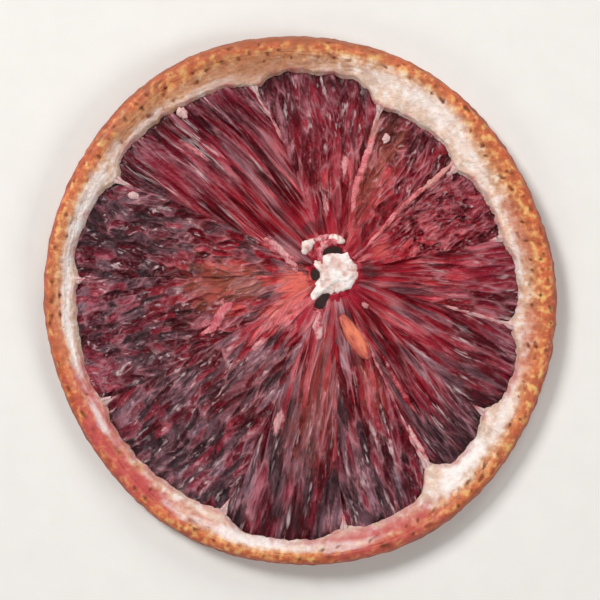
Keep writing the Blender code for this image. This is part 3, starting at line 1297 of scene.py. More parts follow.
@dataclass(frozen=True)
class FleshFace:
    """One cut face of the dried flesh, where emptied juice sacs fan out from the core.

    Attributes:
        plan: The slice's plan.
        side: Which face it is.
        half: Height of the face over the middle surface.
        crease: How far up the face still is where it meets the pith.
        crease_width: Over what distance it falls there.
        sac_width: Width of a sac, sac_width_at from the core.
        sac_width_at: Where the sacs have that width.
        fan: 0 where sacs run straight from the core, 1 where they run along the segment's middle.
        curl: How far short sacs curl.
        ridge: How far a membrane stands up between two sacs.
        hollow: How far an emptied sac sinks.
        tilt: How far a sac tilts across, and lean how far it tilts along.
        coarseness: Height of the fine unevenness, and swell that of the slow one.
        stand: How far the face stands over its half height before it sinks.
        dish: How far it sinks in the middle of a segment, and core_fall how far at the core.
        tone: How light a sac is in the middle of its range.
    """

    plan: SlicePlan
    side: Side
    half: float = 0.62
    crease: float = 0.34
    crease_width: float = 0.45
    sac_width: float = 0.78
    sac_width_at: float = 20.0
    fan: float = 0.74
    curl: float = 0.42
    ridge: float = 0.09
    hollow: float = 0.20
    tilt: float = 0.20
    lean: float = 0.14
    coarseness: float = 0.06
    swell: float = 0.15
    stand: float = 0.04
    dish: float = 0.10
    core_fall: float = 0.22
    tone: float = 0.45

    def grain(self, angle: Array, distance: Array) -> tuple[Array, Array]:
        """Lays a wavering grid of sacs over the face, which fans out in each segment.

        Args:
            angle: Directions from the core.
            distance: Distances from the core.

        Returns:
            Places across the sacs, in millimetres, and along them, in sacs.
        """
        before, _, between = self.plan.neighbours(angle)
        openings = np.diff(wall_values("angle"), append=WALLS[0].angle + FULL_TURN)
        aside = np.radians((between - 0.5) * openings[before]) * mix(self.sac_width_at, distance, self.fan)
        seed = 400 + 7 * self.side.value
        shift = before * 23.0
        sac = wall_values("sac")[before]
        curl = smooth_step(4.0, 1.6, sac) * smooth_step(4.0, 9.0, distance)
        waver = SmoothNoise(seed, 512).sample(aside / 2.4 + shift, distance / 5.0)
        across = SmoothNoise(seed + 2, 512).layered(aside / 1.6 + shift, distance / 1.8, 2)
        ahead = SmoothNoise(seed + 4, 512).layered(aside / 1.6 + shift, distance / 1.8, 2)
        along = distance + 0.8 * SmoothNoise(seed + 1, 512).sample(aside / 1.5 + shift, distance / 6.0)
        narrow = mix(0.70, 1.0, smooth_step(1.2, 2.0, sac)) * mix(1.0, 0.72, smooth_step(5.0, 8.0, sac))
        waver = mix(0.20, 0.40, smooth_step(7.0, 3.0, sac)) * waver
        return (aside + waver + self.curl * curl * across) / narrow, (along + 0.50 * curl * ahead) / sac

    def surface(self, angle: Array, distance: Array, edge: Array) -> FleshSurface:
        """Works out the face.

        Args:
            angle: Directions from the core.
            distance: Distances from the core.
            edge: Distance to the pith in each direction.

        Returns:
            The face at each place.
        """
        before, _, between = self.plan.neighbours(angle)
        aside, along = self.grain(angle, distance)
        shift = before * 41.0 + 13.0 * self.side.value
        sacs = CellField(21, 512, 32, 0.8).sample(aside / self.sac_width + shift, along)
        small = CellField(22, 1024, 64, 0.85).sample(aside / self.sac_width * 2.1 + shift, along * 1.7)
        uneven = SmoothNoise(23, 512).layered(aside / 1.2 + shift, along * 1.6, 3)
        patch = SmoothNoise(26, 512).layered(aside / 2.0 + shift, distance / 3.0, 2)
        swell = SmoothNoise(24, 512).layered(aside / 3.5 + shift, distance / 6.0, 2)
        near = smooth_step(10.5, 4.5, distance)
        broad = CellField(27, 512, 32, 0.8).sample(aside / self.sac_width * 0.5 + shift, along * 0.7)
        lift = wall_values("lift")[before]
        cells = mix(mix(sacs.tone, small.tone, 0.4), broad.tone, 0.75 * near)
        tone = self.tone + lift + 0.20 * near + mix(1.25, 1.0, near) * (cells - 0.5) + 0.22 * uneven + 0.32 * patch
        tone = np.clip(tone, 0.0, 1.0)
        border = mix(sacs.border, broad.border, near)
        membrane = bump(border, 0.16) * (0.8 + 0.6 * uneven) + 0.4 * bump(small.border, 0.18)
        sunk = self.hollow * (1.2 - tone) * smooth_step(0.0, 0.6, border)
        tilt = self.tilt * (sacs.twist - 0.5) * sacs.across + self.lean * (sacs.tone - 0.5) * sacs.along
        relief = self.ridge * np.clip(membrane, 0.0, 1.0) - sunk + tilt + self.coarseness * uneven
        relief = relief + self.coarseness * (small.twist - 0.5)
        fade = mix(0.30, 1.0, smooth_step(2.5, 8.0, distance))
        drop = (self.half - self.crease) * bump(edge - distance, self.crease_width, 1.6)
        drop = drop + self.core_fall * core_share(distance)
        dish = self.dish * np.sin(math.pi * between)
        height = self.half + self.stand + (relief + self.swell * swell) * fade - dish - drop
        heart = smooth_step(25.0, 3.0, distance + 2.5 * uneven)
        north = np.cos(np.radians(angle - 60.0))
        hue = np.clip(0.5 + (1.0 - 0.45 * north) * (sacs.twist - 0.5 + 0.5 * swell) + 0.14 * north, 0.0, 1.0)
        hue = hue * (1.0 - stain_masks(FLESH_STAINS, angle, distance)[Tint.DARK])
        return FleshSurface(height, tone, heart, hue, border, small.border + 0.4 * near, uneven)


@dataclass
class Flesh:
    """The twelve segments of flesh, with the walls between them.

    Attributes:
        plan: The slice's plan, with its two cut faces and the flesh's finish.
        spacing: Distance between points of the flesh, counted for face_length, and face_width_at from the core.
        overlap: How far the flesh runs into the pith.
        seam: What share of its opening a segment leaves free at each wall.
        wall_faces: Faces across a wall and along it.
        wall_half: Half a wall's width, which grows by wall_swell at the pith.
        wall_sink: How far its edge lies under the flat face.
        wall_rise: How far a dark wall stands up, and pale_rise how far a pale one does.
    """

    plan: SlicePlan
    upper: FleshFace
    under: FleshFace
    material: Material
    spacing: float = 0.15
    face_width_at: float = 22.0
    face_length: float = 22.6
    overlap: float = 0.12
    seam: float = 0.002
    wall_faces: tuple[int, int] = (6, 180)
    wall_half: float = 0.15
    wall_swell: float = 0.24
    wall_sink: float = 0.02
    wall_rise: float = 0.08
    pale_rise: float = 0.16

    def build(self) -> None:
        """Builds every segment and every wall."""
        for number in range(len(WALLS)):
            self.build_segment(number)
            self.build_wall(number)

    def dress(
        self, piece: Piece, angle: Array, distance: Array, edge: Array, top: Array, pale: Array | float = 0.0
    ) -> Array:
        """Stores what the finish reads, and works out the cut faces' heights.

        Args:
            piece: The piece.
            angle: Directions from the core.
            distance: Distances from the core.
            edge: Distance to the pith in each direction.
            top: Whether each point is on the upper face.
            pale: How pale the piece is at the least.

        Returns:
            Heights over the middle surface.
        """
        faces = [face.surface(angle, distance, edge) for face in (self.upper, self.under)]
        height, tone, heart, hue, sac_border, small_border, uneven = (
            np.where(top, high, low) for high, low in zip(*(vars(face).values() for face in faces))
        )
        grains = zip(self.upper.grain(angle, distance), self.under.grain(angle, distance))
        aside, along = (np.where(top, high, low) for high, low in grains)
        masks = stain_masks(FLESH_STAINS, angle, distance)
        masks[Tint.PALE] = np.maximum(masks[Tint.PALE], pale)
        light = 0.06 * np.cos(np.radians(angle - 40.0))
        # Painted shade: the last term darkens the flesh within about a millimetre of the pith, in the crease where it
        # meets the pith, which partly stands for the darker outer ends of the sacs.
        tone = (tone + light) * (1.0 - masks[Tint.DARK]) - 0.25 * bump(edge - distance, 0.8)
        paint(piece, "sac", tone, heart, hue)
        paint(piece, "film", sac_border, small_border, uneven)
        paint(piece, "grain", aside, along * 0.95, np.where(top, 7.0, -7.0))
        paint_stains(piece, masks)
        return np.where(top, height, -height)

    def build_segment(self, number: int) -> None:
        """Builds one segment of flesh.

        Args:
            number: The number of the wall before it, from 0.
        """
        wall, after = WALLS[number], WALLS[(number + 1) % len(WALLS)]
        opening = (after.angle - wall.angle) % FULL_TURN
        columns = round(math.radians(opening) * self.face_width_at / self.spacing)
        piece = dense_block(f"flesh_segment_{number + 1}", columns, round(self.face_length / self.spacing))
        across, out, top = places_in_block(piece)
        angle = wall.angle + mix(self.seam, 1.0 - self.seam, across) * opening
        edge = self.plan.flesh_edge(angle)
        distance = mix(self.plan.tip_edge(angle), edge + self.overlap, out)
        height = self.dress(piece, angle, distance, edge, top)
        move_points(piece, self.plan.place(distance, angle, height))
        finish_piece(piece, self.material)

    def build_wall(self, number: int) -> None:
        """Builds the wall before one segment: a thin blade that shows a little over both faces.

        Args:
            number: The wall's number, from 0.
        """
        wall = WALLS[number]
        piece = dense_block(f"segment_wall_{number + 1}", *self.wall_faces)
        across, out, top = places_in_block(piece)
        centre = np.full_like(out, wall.angle)
        edge = self.plan.flesh_edge(centre)
        distance = mix(self.plan.tip_edge(centre) + 0.2, edge + 0.5, out)
        inward = edge - distance
        frayed = SmoothNoise(300 + number).layered(distance / 0.9, np.zeros_like(distance), 3)
        shown = wall.shown(distance, inward, frayed)
        half = self.wall_half * (0.45 + 0.95 * shown + 0.30 * frayed) + self.wall_swell * bump(inward, 0.6)
        angle = wall.angle + np.degrees((2 * across - 1) * half / distance)
        crown = 1.0 - 0.6 * (2 * across - 1) ** 2
        rise = self.wall_rise * (0.2 + 0.6 * frayed) + self.pale_rise * shown
        self.dress(piece, angle, distance, edge, top, shown)
        height = self.upper.half - self.wall_sink - self.upper.core_fall * core_share(distance) + rise * crown
        move_points(piece, self.plan.place(distance, angle, np.where(top, height, -height)))
        finish_piece(piece, self.material)


RIND_STAINS = {
    Tint.PALE: patches(
        (40, 3.6, 12, 0.7, 0.5), (60, 3, 16, 1.1, 0.6), (5, 3.9, 7, 0.4, 0.6), (303, 3.6, 8, 1.1, 1.05),
        (320, 2.8, 7, 0.8, 0.65), (252, 2.1, 13, 0.6, 0.95), (272, 1.9, 8, 0.5, 0.5), (159, 2.7, 9, 0.8, 0.7),
        (174, 2.5, 13, 0.6, 0.85), (195, 2.5, 9, 0.5, 0.9), (213, 2.4, 6, 0.4, 0.75), (124, 3.9, 9, 0.4, 0.35),
        (142, 3.4, 9, 0.4, 0.5),
    ),
    Tint.ORANGE: patches(
        (112, 3.2, 26, 1.7, 0.95), (140, 2.6, 16, 1.5, 0.85), (184, 1.5, 18, 0.9, 0.35), (6, 3, 18, 0.9, 0.45),
    ),
    # Browned peel and pith. The patches 0.1 to 0.2 mm under the skin, from 68 to 136 degrees, are painted shadow along
    # the skin's edge.
    Tint.BROWN: patches(
        (284, 1, 14, 0.8, 0.3), (122, 0.9, 24, 1.1, 0.35), (98, 0.2, 28, 0.9, 1.15), (68, 0.1, 12, 0.6, 0.6),
        (136, 0.1, 16, 0.7, 0.6), (108, 2.9, 14, 1.2, 0.4), (296, 0.3, 10, 0.6, 0.45),
    ),
    Tint.CRIMSON: patches(
        (228, 1.9, 10, 1, 1), (217, 1.5, 15, 1.1, 0.9), (212, 2.5, 17, 0.9, 1.05), (192, 1.8, 12, 0.8, 0.25),
        (244, 2.4, 12, 0.8, 0.45), (282, 1.4, 14, 1.1, 0.78), (280, 2.5, 14, 1, 1), (343, 2.9, 12, 1, 0.45),
        (16, 3, 12, 0.9, 0.4),
    ),
}

AMBER_DEPTHS = (2.4, 1.9, 1.35, 2.2, 2.6, 1.5, 1.75, 2.1, 1.25, 1.9, 1.55, 2.3)  # in even steps round the core


def rows_of_face(height: Array) -> Array:
    """Rows of noise or cells to start at, so that the upper and the under face get patterns of their own."""
    return 20.0 + 8.0 * np.sign(height)


@dataclass
class Rind:
    """The peel and the pith, as two rings that overlap inside.

    Attributes:
        plan: The slice's plan, with the two finishes.
        around: Faces round each ring.
        gland_spacing: Distance between oil glands.
        first_row: Depth of their first row under the skin.
        gland_waver: How far a row wavers, and gland_pit how far a gland sinks.
        crust_height: Height of the soft relief where peel and pith meet.
        dimple: Height of the skin's dimples, as shrivel and sponge are those of the other reliefs.
        clearance: How far the pith stays over the surface that the slice lies on.
    """

    plan: SlicePlan
    peel_material: Material
    pith_material: Material
    around: int = 1400
    gland_spacing: float = 1.15
    first_row: float = 0.95
    gland_waver: float = 0.3
    crust_height: float = 0.09
    gland_pit: float = 0.08
    dimple: float = 0.06
    shrivel: float = 0.07
    sponge: float = 0.07
    clearance: float = 0.03

    def build(self) -> None:
        """Builds both rings."""
        self.build_peel()
        self.build_pith()

    def shown_depth(self, angle: Array, inward: Array) -> Array:
        """Depth under the skin as a share of the depth at which amber passes into cream in that direction."""
        step = FULL_TURN / len(AMBER_DEPTHS)
        return inward / np.interp(angle, step * (np.arange(len(AMBER_DEPTHS)) + 0.5), AMBER_DEPTHS, period=FULL_TURN)

    def glands(self, angle: Array, inward: Array, height: Array) -> Array:
        """Lays oil glands in rows, as deep as the amber runs.

        Args:
            angle: Directions from the core.
            inward: Depths under the skin.
            height: Heights over the middle surface, whose sign tells the two faces apart.

        Returns:
            How far the nearest gland is, in its own radii.
        """
        columns = round(2 * math.pi * self.plan.rim_radius / self.gland_spacing)
        noise = SmoothNoise(54, 180)
        waver = self.gland_waver * noise.sample(noise.around(angle), np.sign(height))
        row = (inward + waver - self.first_row) / self.gland_spacing + 0.65 + rows_of_face(height)
        cells = CellField(51, columns, 64, 0.55, 0.3).sample(angle / FULL_TURN * columns, row)
        size = np.where(cells.twist > 0.22, 0.17 + 0.12 * cells.tone, 0.02)
        held = smooth_step(1.65, 1.25, self.shown_depth(angle, inward)) * smooth_step(0.3, 0.6, inward)
        return np.hypot(cells.across, cells.along) / size + 2.0 * (1.0 - held)

    def crust(self, angle: Array, inward: Array, height: Array) -> Array:
        """Works out the relief that peel and pith share where they meet.

        Args:
            angle: Directions from the core.
            inward: Depths under the skin.
            height: Heights over the middle surface.

        Returns:
            How far the surface stands out.
        """
        soft = SmoothNoise(62, 240).layered_round(angle, inward / 0.8 + rows_of_face(height))
        pits = smooth_step(1.5, 0.4, self.glands(angle, inward, height))
        return self.crust_height * soft - self.gland_pit * pits

    def build_ring(
        self,
        name: str,
        section: Section,
        corners: Callable[[Array], Sequence[tuple[Array, float]]],
        relief: Callable[[Array, Array, Array], Array],
        material: Material,
        least: float = 0.0,
    ) -> None:
        """Builds a ring with a section that changes round the slice.

        Args:
            name: The piece's name.
            section: How the section's faces are shared out.
            corners: Gives the section's corners at each angle, as distances from the core and heights.
            relief: Gives, from angles, depths under the skin and heights, how far the surface stands out.
            material: The ring's finish.
            least: How far it stays over the surface that the slice lies on.
        """
        piece = dense_ring(name, self.around, section.count)
        angle, step = section.places(piece)
        outline = corners(angle)
        distance, height = section.trace(step, outline)
        run, climb = section.trace(step + NUDGE, outline) - section.trace(step - NUDGE, outline)
        length = np.hypot(run, climb)
        inward = self.plan.outline_edge(angle) - distance
        inner = np.clip(distance - self.plan.flesh_edge(angle), 0.0, FAR)
        gland = np.minimum(self.glands(angle, inward, height), FAR)
        amount = self.crust(angle, inward, height) + relief(angle, inward, height)
        paint(piece, "rind", self.shown_depth(angle, inward), gland, inner)
        paint_stains(piece, stain_masks(RIND_STAINS, angle, inward))
        distance, height = distance - amount * climb / length, height + amount * run / length
        move_points(piece, self.plan.place(distance, angle, height, least))
        finish_piece(piece, material)

    def build_peel(self) -> None:
        """Builds the peel, with its skin and the cut band that glands open into."""

        def corners(angle: Array) -> Sequence[tuple[Array, float]]:
            """Gives the peel's section, from its hidden inner side up and over.

            Args:
                angle: Directions from the core.

            Returns:
                The corners, as distances from the core and heights.
            """
            peel, outline = self.plan.peel_edge(angle), self.plan.outline_edge(angle)
            return (
                (peel + 0.25, 0.0), (peel + 0.10, 1.15), (peel, 1.40), (outline - 1.05, 1.50), (outline - 0.45, 1.15),
                (outline - 0.06, 0.25), (outline, -0.50), (outline - 0.22, -1.15), (outline - 0.70, -1.50),
                (peel, -1.44), (peel + 0.10, -1.15),
            )

        def relief(angle: Array, inward: Array, height: Array) -> Array:
            """Gives the dimples in the skin, and the shrivel of dried peel.

            Args:
                angle: Directions from the core.
                inward: Depths under the skin.
                height: Heights over the middle surface.

            Returns:
                How far the surface stands out.
            """
            columns = 280
            dimples = CellField(52, columns, 64).sample(angle / FULL_TURN * columns, (height + 4.0) / 0.62)
            shrivel = SmoothNoise(53, 360).layered_round(angle, height / 0.9)
            pits = smooth_step(0.0, 0.6, dimples.border) - 0.5
            return smooth_step(0.75, 0.3, inward) * (self.dimple * pits + self.shrivel * shrivel)

        section = Section((2, 2, 14, 7, 8, 7, 7, 7, 12, 2, 2))
        self.build_ring("peel", section, corners, relief, self.peel_material)

    def build_pith(self) -> None:
        """Builds the pith, from the flesh out to where it passes into the peel."""

        def corners(angle: Array) -> Sequence[tuple[Array, float]]:
            """Gives the pith's section, from its hidden inner side up and over.

            Args:
                angle: Directions from the core.

            Returns:
                The corners, as distances from the core and heights.
            """
            edge, peel = self.plan.flesh_edge(angle), self.plan.peel_edge(angle)
            middle = mix(edge, peel, 0.5)
            return (
                (edge - 0.35, 0.0), (edge - 0.28, 0.35), (edge - 0.06, 0.66), (edge + 0.18, 0.90), (middle, 1.12),
                (peel - 0.04, 1.39), (peel + 0.30, 1.00), (peel + 0.60, 0.0), (peel + 0.54, -1.00),
                (peel + 0.28, -1.42), (middle, -1.12), (edge + 0.18, -0.90), (edge - 0.06, -0.66), (edge - 0.28, -0.35),
            )

        def relief(angle: Array, inward: Array, height: Array) -> Array:
            """Gives the sponge of dried pith.

            Args:
                angle: Directions from the core.
                inward: Depths under the skin.
                height: Heights over the middle surface.

            Returns:
                How far the surface stands out.
            """
            pores = CellField(61, 360, 64).sample(angle, inward / 0.45 + rows_of_face(height))
            clear = self.plan.peel_edge(angle) - self.plan.outline_edge(angle) + inward
            return self.sponge * (smooth_step(0.0, 0.7, pores.border) - 0.6) * smooth_step(0.1, 0.6, clear)

        section = Section((1, 2, 3, 10, 11, 4, 1, 1, 4, 11, 10, 3, 2, 1))
        self.build_ring("pith", section, corners, relief, self.pith_material, self.clearance)


@dataclass(frozen=True)
class Strand:
    """A fibre that lies on the upper face.

    Attributes:
        name: The piece's name.
        path: Its points, as angles and distances from the core.
        half_width: Half its width at its widest.
        rise: How far it stands over the flesh.
        tints: Its tints and how strong each is. With none it is white, like the plug.
    """

    name: str
    path: tuple[tuple[float, float], ...]
    half_width: float
    rise: float
    tints: dict[Tint, float] = field(default_factory=dict)


STRANDS = (
    Strand("core_arc_left", ((147.0, 3.9), (138.0, 4.2), (128.0, 4.3), (119.0, 4.3)), 0.56, 0.26),
    Strand(
        "core_arc_middle", ((124.0, 4.3), (113.0, 4.2), (102.0, 4.1), (94.0, 4.0)), 0.40, 0.20, {Tint.PALE: 0.74}
    ),
    Strand("core_arc_top", ((102.0, 4.1), (92.0, 3.9), (81.0, 3.8), (71.0, 3.7)), 0.48, 0.24),
    Strand(
        "fibre_upper_left", ((151.5, 8.6), (153.0, 7.2), (157.5, 5.9), (165.0, 4.8), (176.0, 4.0)), 0.46, 0.16,
        {Tint.PALE: 0.72},
    ),
    Strand("fibre_salmon", ((176.0, 3.9), (187.0, 3.7), (201.0, 3.9), (214.0, 4.4)), 0.80, 0.10, {Tint.ORANGE: 1.2}),
    Strand(
        "fibre_lower_left", ((226.0, 3.9), (221.0, 5.6), (217.5, 7.4), (216.5, 9.4), (218.5, 11.6)), 0.42, 0.08,
        {Tint.PALE: 0.46, Tint.ORANGE: 0.5},
    ),
    Strand(
        "fibre_under_core", ((246.0, 4.2), (250.0, 5.2), (254.0, 6.2), (257.0, 7.2)), 0.66, 0.14, {Tint.PALE: 0.76}
    ),
    Strand(
        "fibre_right", ((41.0, 4.3), (43.0, 7.0), (44.5, 9.8), (44.0, 12.0), (43.0, 14.4), (41.5, 17.0)), 0.34, 0.28,
        {Tint.PALE: 0.54, Tint.ORANGE: 0.4},
    ),
    Strand(
        "fibre_right_tan", ((44.5, 11.6), (43.6, 13.6), (42.6, 16.0), (41.5, 18.6)), 0.38, 0.30,
        {Tint.BROWN: 0.55, Tint.PALE: 0.90},
    ),
    Strand(
        "fibre_top_right", ((73.6, 7.0), (75.3, 8.6), (75.7, 10.4), (75.3, 12.4), (74.8, 14.2), (74.3, 16.2)), 0.42,
        0.26, {Tint.PALE: 0.58, Tint.ORANGE: 0.5},
    ),
    Strand(
        "fibre_lower_right", ((300.8, 10.2), (300.1, 12.0), (299.9, 14.0), (300.7, 16.0), (301.2, 17.4)), 0.30, 0.20,
        {Tint.PALE: 0.36},
    ),
    Strand(
        "fibre_at_light_wall", ((296.3, 22.8), (296.5, 21.2), (296.4, 19.6), (296.7, 18.0)), 0.30, 0.24,
        {Tint.PALE: 0.70},
    ),
    Strand(
        "scrap_stem", ((195.2, 11.4), (198.5, 12.8), (202.5, 13.9), (206.5, 15.2)), 0.58, 0.24,
        {Tint.CRIMSON: 1.0, Tint.PALE: 0.58},
    ),
    Strand(
        "scrap_branch", ((200.5, 13.6), (203.5, 14.6), (204.0, 16.0)), 0.34, 0.20,
        {Tint.CRIMSON: 1.0, Tint.PALE: 0.58},
    ),
    Strand(
        "scrap_tip", ((191.6, 12.2), (193.6, 12.5), (195.4, 12.3)), 0.26, 0.20, {Tint.PALE: 0.70, Tint.BROWN: 0.3}
    ),
)


@dataclass(frozen=True)
class Crumb:
    """A crumb on the upper face, partly pulp and partly a painted highlight: where it lies, its half sizes out from the
    core and across, and its tints.
    """

    name: str
    angle: float
    distance: float
    half_length: float
    half_width: float
    rise: float
    tints: dict[Tint, float]


# Each crumb stands where a pale glint lies: a lump partly of pulp and partly a painted highlight.
CRUMBS = (
    Crumb("crumb_top", 69.5, 15.7, 0.50, 0.42, 0.30, {Tint.PALE: 0.85}),
    Crumb("crumb_beige", 315.0, 4.7, 0.40, 0.30, 0.18, {Tint.PALE: 0.90, Tint.BROWN: 0.4}),
    Crumb("crumb_left", 157.6, 23.2, 0.62, 0.42, 0.14, {Tint.PALE: 1.20}),
    Crumb("crumb_upper_left", 131.8, 23.9, 0.66, 0.52, 0.24, {Tint.PALE: 1.10}),
)


@dataclass
class Core:
    """The white pith at the fruit's axis, the tissue round it, and the strands, seed and crumbs near it.

    Attributes:
        plan: The slice's plan, with its upper cut face and the three finishes.
        plug_faces: Faces round the plug and from top to bottom, like seed_faces and crumb_faces.
        plug_radius: Mean radius of the plug, and plug_half half its thickness.
        plug_spots: Where its edge swells or shrinks, and plug_tail its tail: angle, half width and size.
        collar_around: Faces round the collar, and collar_radius its inner radius away from the gaps.
        arc_angle: Direction in which the collar is thick and white, with arc_width half as wide.
        seed_angle: Direction of the seed's middle, seed_distance from the core. It points to seed_lean.
        seed_half: Half its length, width and thickness.
        strand_spacing: Length of a strand's faces, with strand_faces across it.
        strand_sink: How far a strand's edges lie under the flesh, and strand_foot how far its foot does.
        crumb_sink: How far a crumb's middle lies under it.
        blunt: How narrow a strand's ends are, before the power, taper, is taken.
        white_depth: Depth under the skin at which the rind's finish shows pith.
    """

    plan: SlicePlan
    upper: FleshFace
    flesh_material: Material
    white_material: Material
    seed_material: Material
    plug_faces: tuple[int, int] = (320, 128)
    plug_radius: float = 2.40
    plug_ragged: float = 0.16
    plug_spots: tuple[tuple[float, float, float], ...] = (
        (61.0, 9.0, 0.60), (138.0, 13.0, 0.55), (8.0, 30.0, 0.22), (282.0, 34.0, -0.42),
    )
    plug_tail: tuple[float, float, float] = (226.0, 8.5, 2.1)
    plug_half: float = 0.72
    collar_around: int = 480
    collar_radius: float = 1.5
    arc_angle: float = 108.0
    arc_width: float = 38.0
    seed_faces: tuple[int, int] = (128, 64)
    seed_angle: float = 288.0
    seed_distance: float = 7.1
    seed_lean: float = 301.0
    seed_half: tuple[float, float, float] = (2.85, 0.92, 0.27)
    strand_spacing: float = 0.09
    strand_faces: int = 10
    strand_sink: float = 0.12
    strand_foot: float = 0.30
    crumb_faces: tuple[int, int] = (48, 24)
    crumb_sink: float = 0.05
    blunt: float = 0.002
    taper: float = 0.45
    white_depth: float = 2.2

    def build(self) -> None:
        """Builds all of the core's pieces."""
        self.build_plug()
        self.build_collar()
        self.build_seed()
        for strand in STRANDS:
            self.build_strand(strand)
        for crumb in CRUMBS:
            self.build_crumb(crumb)

    def plug_edge(self, angle: Array) -> Array:
        """Works out the plug's outline, with its spur, its corner and its tail, kept clear of the gaps.

        Args:
            angle: Directions from the core.

        Returns:
            Distances from the core.
        """
        edge = self.plug_radius + self.plug_ragged * SmoothNoise(81, 36).layered_round(angle)
        for at, width, size in self.plug_spots:
            edge = edge + size * bump(turn_between(angle, at), width)
        for gap in GAPS:
            clear = gap.inner - 0.03
            edge = mix(edge, np.minimum(edge, clear), gap.window(angle))
        at, width, size = self.plug_tail
        return edge + size * bump(turn_between(angle, at), width, 3.0)

    def build_plug(self) -> None:
        """Builds the spongy white plug on the axis."""
        piece = dense_ball("core_plug", *self.plug_faces)
        x, y, z = points_of(piece).T
        angle, out = np.degrees(np.arctan2(y, x)), np.hypot(x, y)
        distance = self.plug_edge(angle) * np.minimum(out, 1.0)
        turn = np.radians(angle)
        east, north = distance * np.cos(turn), distance * np.sin(turn)
        sponge = SmoothNoise(82).layered(east / 0.6, north / 0.6)
        height = np.sign(z) * np.abs(z) ** 0.45 * (self.plug_half + 0.16 * sponge)
        masks = stain_masks({}, angle, distance)
        mauve = SmoothNoise(84).layered(east / 1.1 + 9.0, north / 1.1 + 9.0, 2)
        masks[Tint.PALE] = np.clip(0.90 + 0.6 * sponge - 0.5 * smooth_step(0.0, 0.4, mauve), 0.0, 1.0)
        masks[Tint.CRIMSON] = np.clip(0.35 * smooth_step(0.6, 1.0, out) * (0.7 - 1.2 * sponge), 0.0, 1.0)
        masks[Tint.CRIMSON] = np.maximum(masks[Tint.CRIMSON], 0.42 * smooth_step(0.0, 0.5, mauve))
        move_points(piece, self.plan.place(distance, angle, height))
        self.dress_white(piece, masks)

    def build_collar(self) -> None:
        """Builds the thin tissue between the plug and the flesh, open at the gaps."""
        section = Section((3, 8, 12, 3, 3, 12, 8, 3))
        piece = dense_ring("core_collar", self.collar_around, section.count)
        angle, step = section.places(piece)
        inner = np.full_like(angle, self.collar_radius)
        for gap in GAPS:
            inner = np.maximum(inner, mix(self.collar_radius, gap.outer, gap.window(angle)))
        arc = bump(turn_between(angle, self.arc_angle), self.arc_width, 4.0)
        outer = np.maximum(self.plan.tip_edge(angle) + 0.6, inner + 0.6) + 0.5 * arc
        middle = mix(inner, outer, 0.45)
        top, lip = mix(0.30, 0.80, arc), mix(0.22, 0.55, arc)
        corners = (
            (inner, 0.0), (inner + 0.08, lip), (middle, top), (outer, 0.34), (outer + 0.1, 0.0), (outer, -0.34),
            (middle, -top), (inner + 0.08, -lip),
        )
        distance, height = section.trace(step, corners)
        rough = SmoothNoise(85, 48).layered_round(angle, distance / 0.6)
        height = height + 0.08 * rough * np.sign(height)
        masks = stain_masks(FLESH_STAINS, angle, distance)
        masks[Tint.PALE] = np.maximum(masks[Tint.PALE], arc * (0.42 + 0.5 * rough))
        masks[Tint.CRIMSON] = np.maximum(masks[Tint.CRIMSON], 0.5 + 0.3 * rough)
        move_points(piece, self.plan.place(distance, angle, height))
        self.dress_flesh(piece, masks, rough, angle, distance)

    def build_seed(self) -> None:
        """Builds the thin, shrunken seed that the cut bared, sunk into the flesh at its outer end."""
        piece = dense_ball("shrunken_seed", *self.seed_faces)
        x, y, z = points_of(piece).T
        half_length, half_width, half_height = self.seed_half
        ragged = SmoothNoise(92).layered(x * 2.0 + 8.0, y * 1.5 + 8.0, 2)
        along, aside = half_length * x, (half_width + 0.06 * x) * y * (1.0 + 0.14 * ragged)
        wrinkle = SmoothNoise(91).layered(along / 0.9 + 7.0, aside / 0.28 + 7.0)
        lean = math.radians(self.seed_lean - self.seed_angle)
        away = self.seed_distance + along * math.cos(lean) - aside * math.sin(lean)
        sideways = along * math.sin(lean) + aside * math.cos(lean)
        distance, angle = np.hypot(away, sideways), self.seed_angle + np.degrees(np.arctan2(sideways, away))
        height = self.upper.half + half_height * z + 0.07 * wrinkle * np.abs(z)
        paint(piece, "grain", aside * 1.2, along * 0.22, z)
        # Painted light and shade: lighter on the seed's top and on the wrinkles' crests, darker between the wrinkles,
        # round its edge, towards its outer end and on one side.
        crown = 0.22 + 0.75 * np.abs(z) + 0.60 * wrinkle - 0.30 * np.maximum(x, 0.0) - 0.30 * np.maximum(-y, 0.0)
        paint(piece, "crown", np.clip(crown, 0.0, 1.0))
        move_points(piece, self.plan.place(distance, angle, height))
        finish_piece(piece, self.seed_material)

    def dress_flesh(self, piece: Piece, masks: Masks, fleck: Array, angle: Array, distance: Array) -> None:
        """Gives the flesh's finish to a piece that has no sacs of its own.

        Args:
            piece: The piece.
            masks: Its tints.
            fleck: Noise that varies its tone.
            angle: Directions from the core.
            distance: Distances from the core.
        """
        even = np.ones_like(angle)
        paint(piece, "sac", 0.45 + 0.4 * fleck - masks[Tint.DARK], 0.9 * even, 0.5 * even)
        paint(piece, "film", 0.4 + 0.4 * fleck, 0.4 + 0.4 * fleck, fleck)
        paint(piece, "grain", np.radians(angle) * distance * 0.5, distance * 0.5, even)
        paint_stains(piece, masks)
        finish_piece(piece, self.flesh_material)

    def dress_white(self, piece: Piece, masks: Masks) -> None:
        """Gives the pith's finish to a piece that is white all over.

        Args:
            piece: The piece.
            masks: Its tints.
        """
        even = np.ones_like(masks[Tint.PALE])
        paint(piece, "rind", self.white_depth * even, FAR * even, FAR * even)
        paint_stains(piece, masks)
        finish_piece(piece, self.white_material)

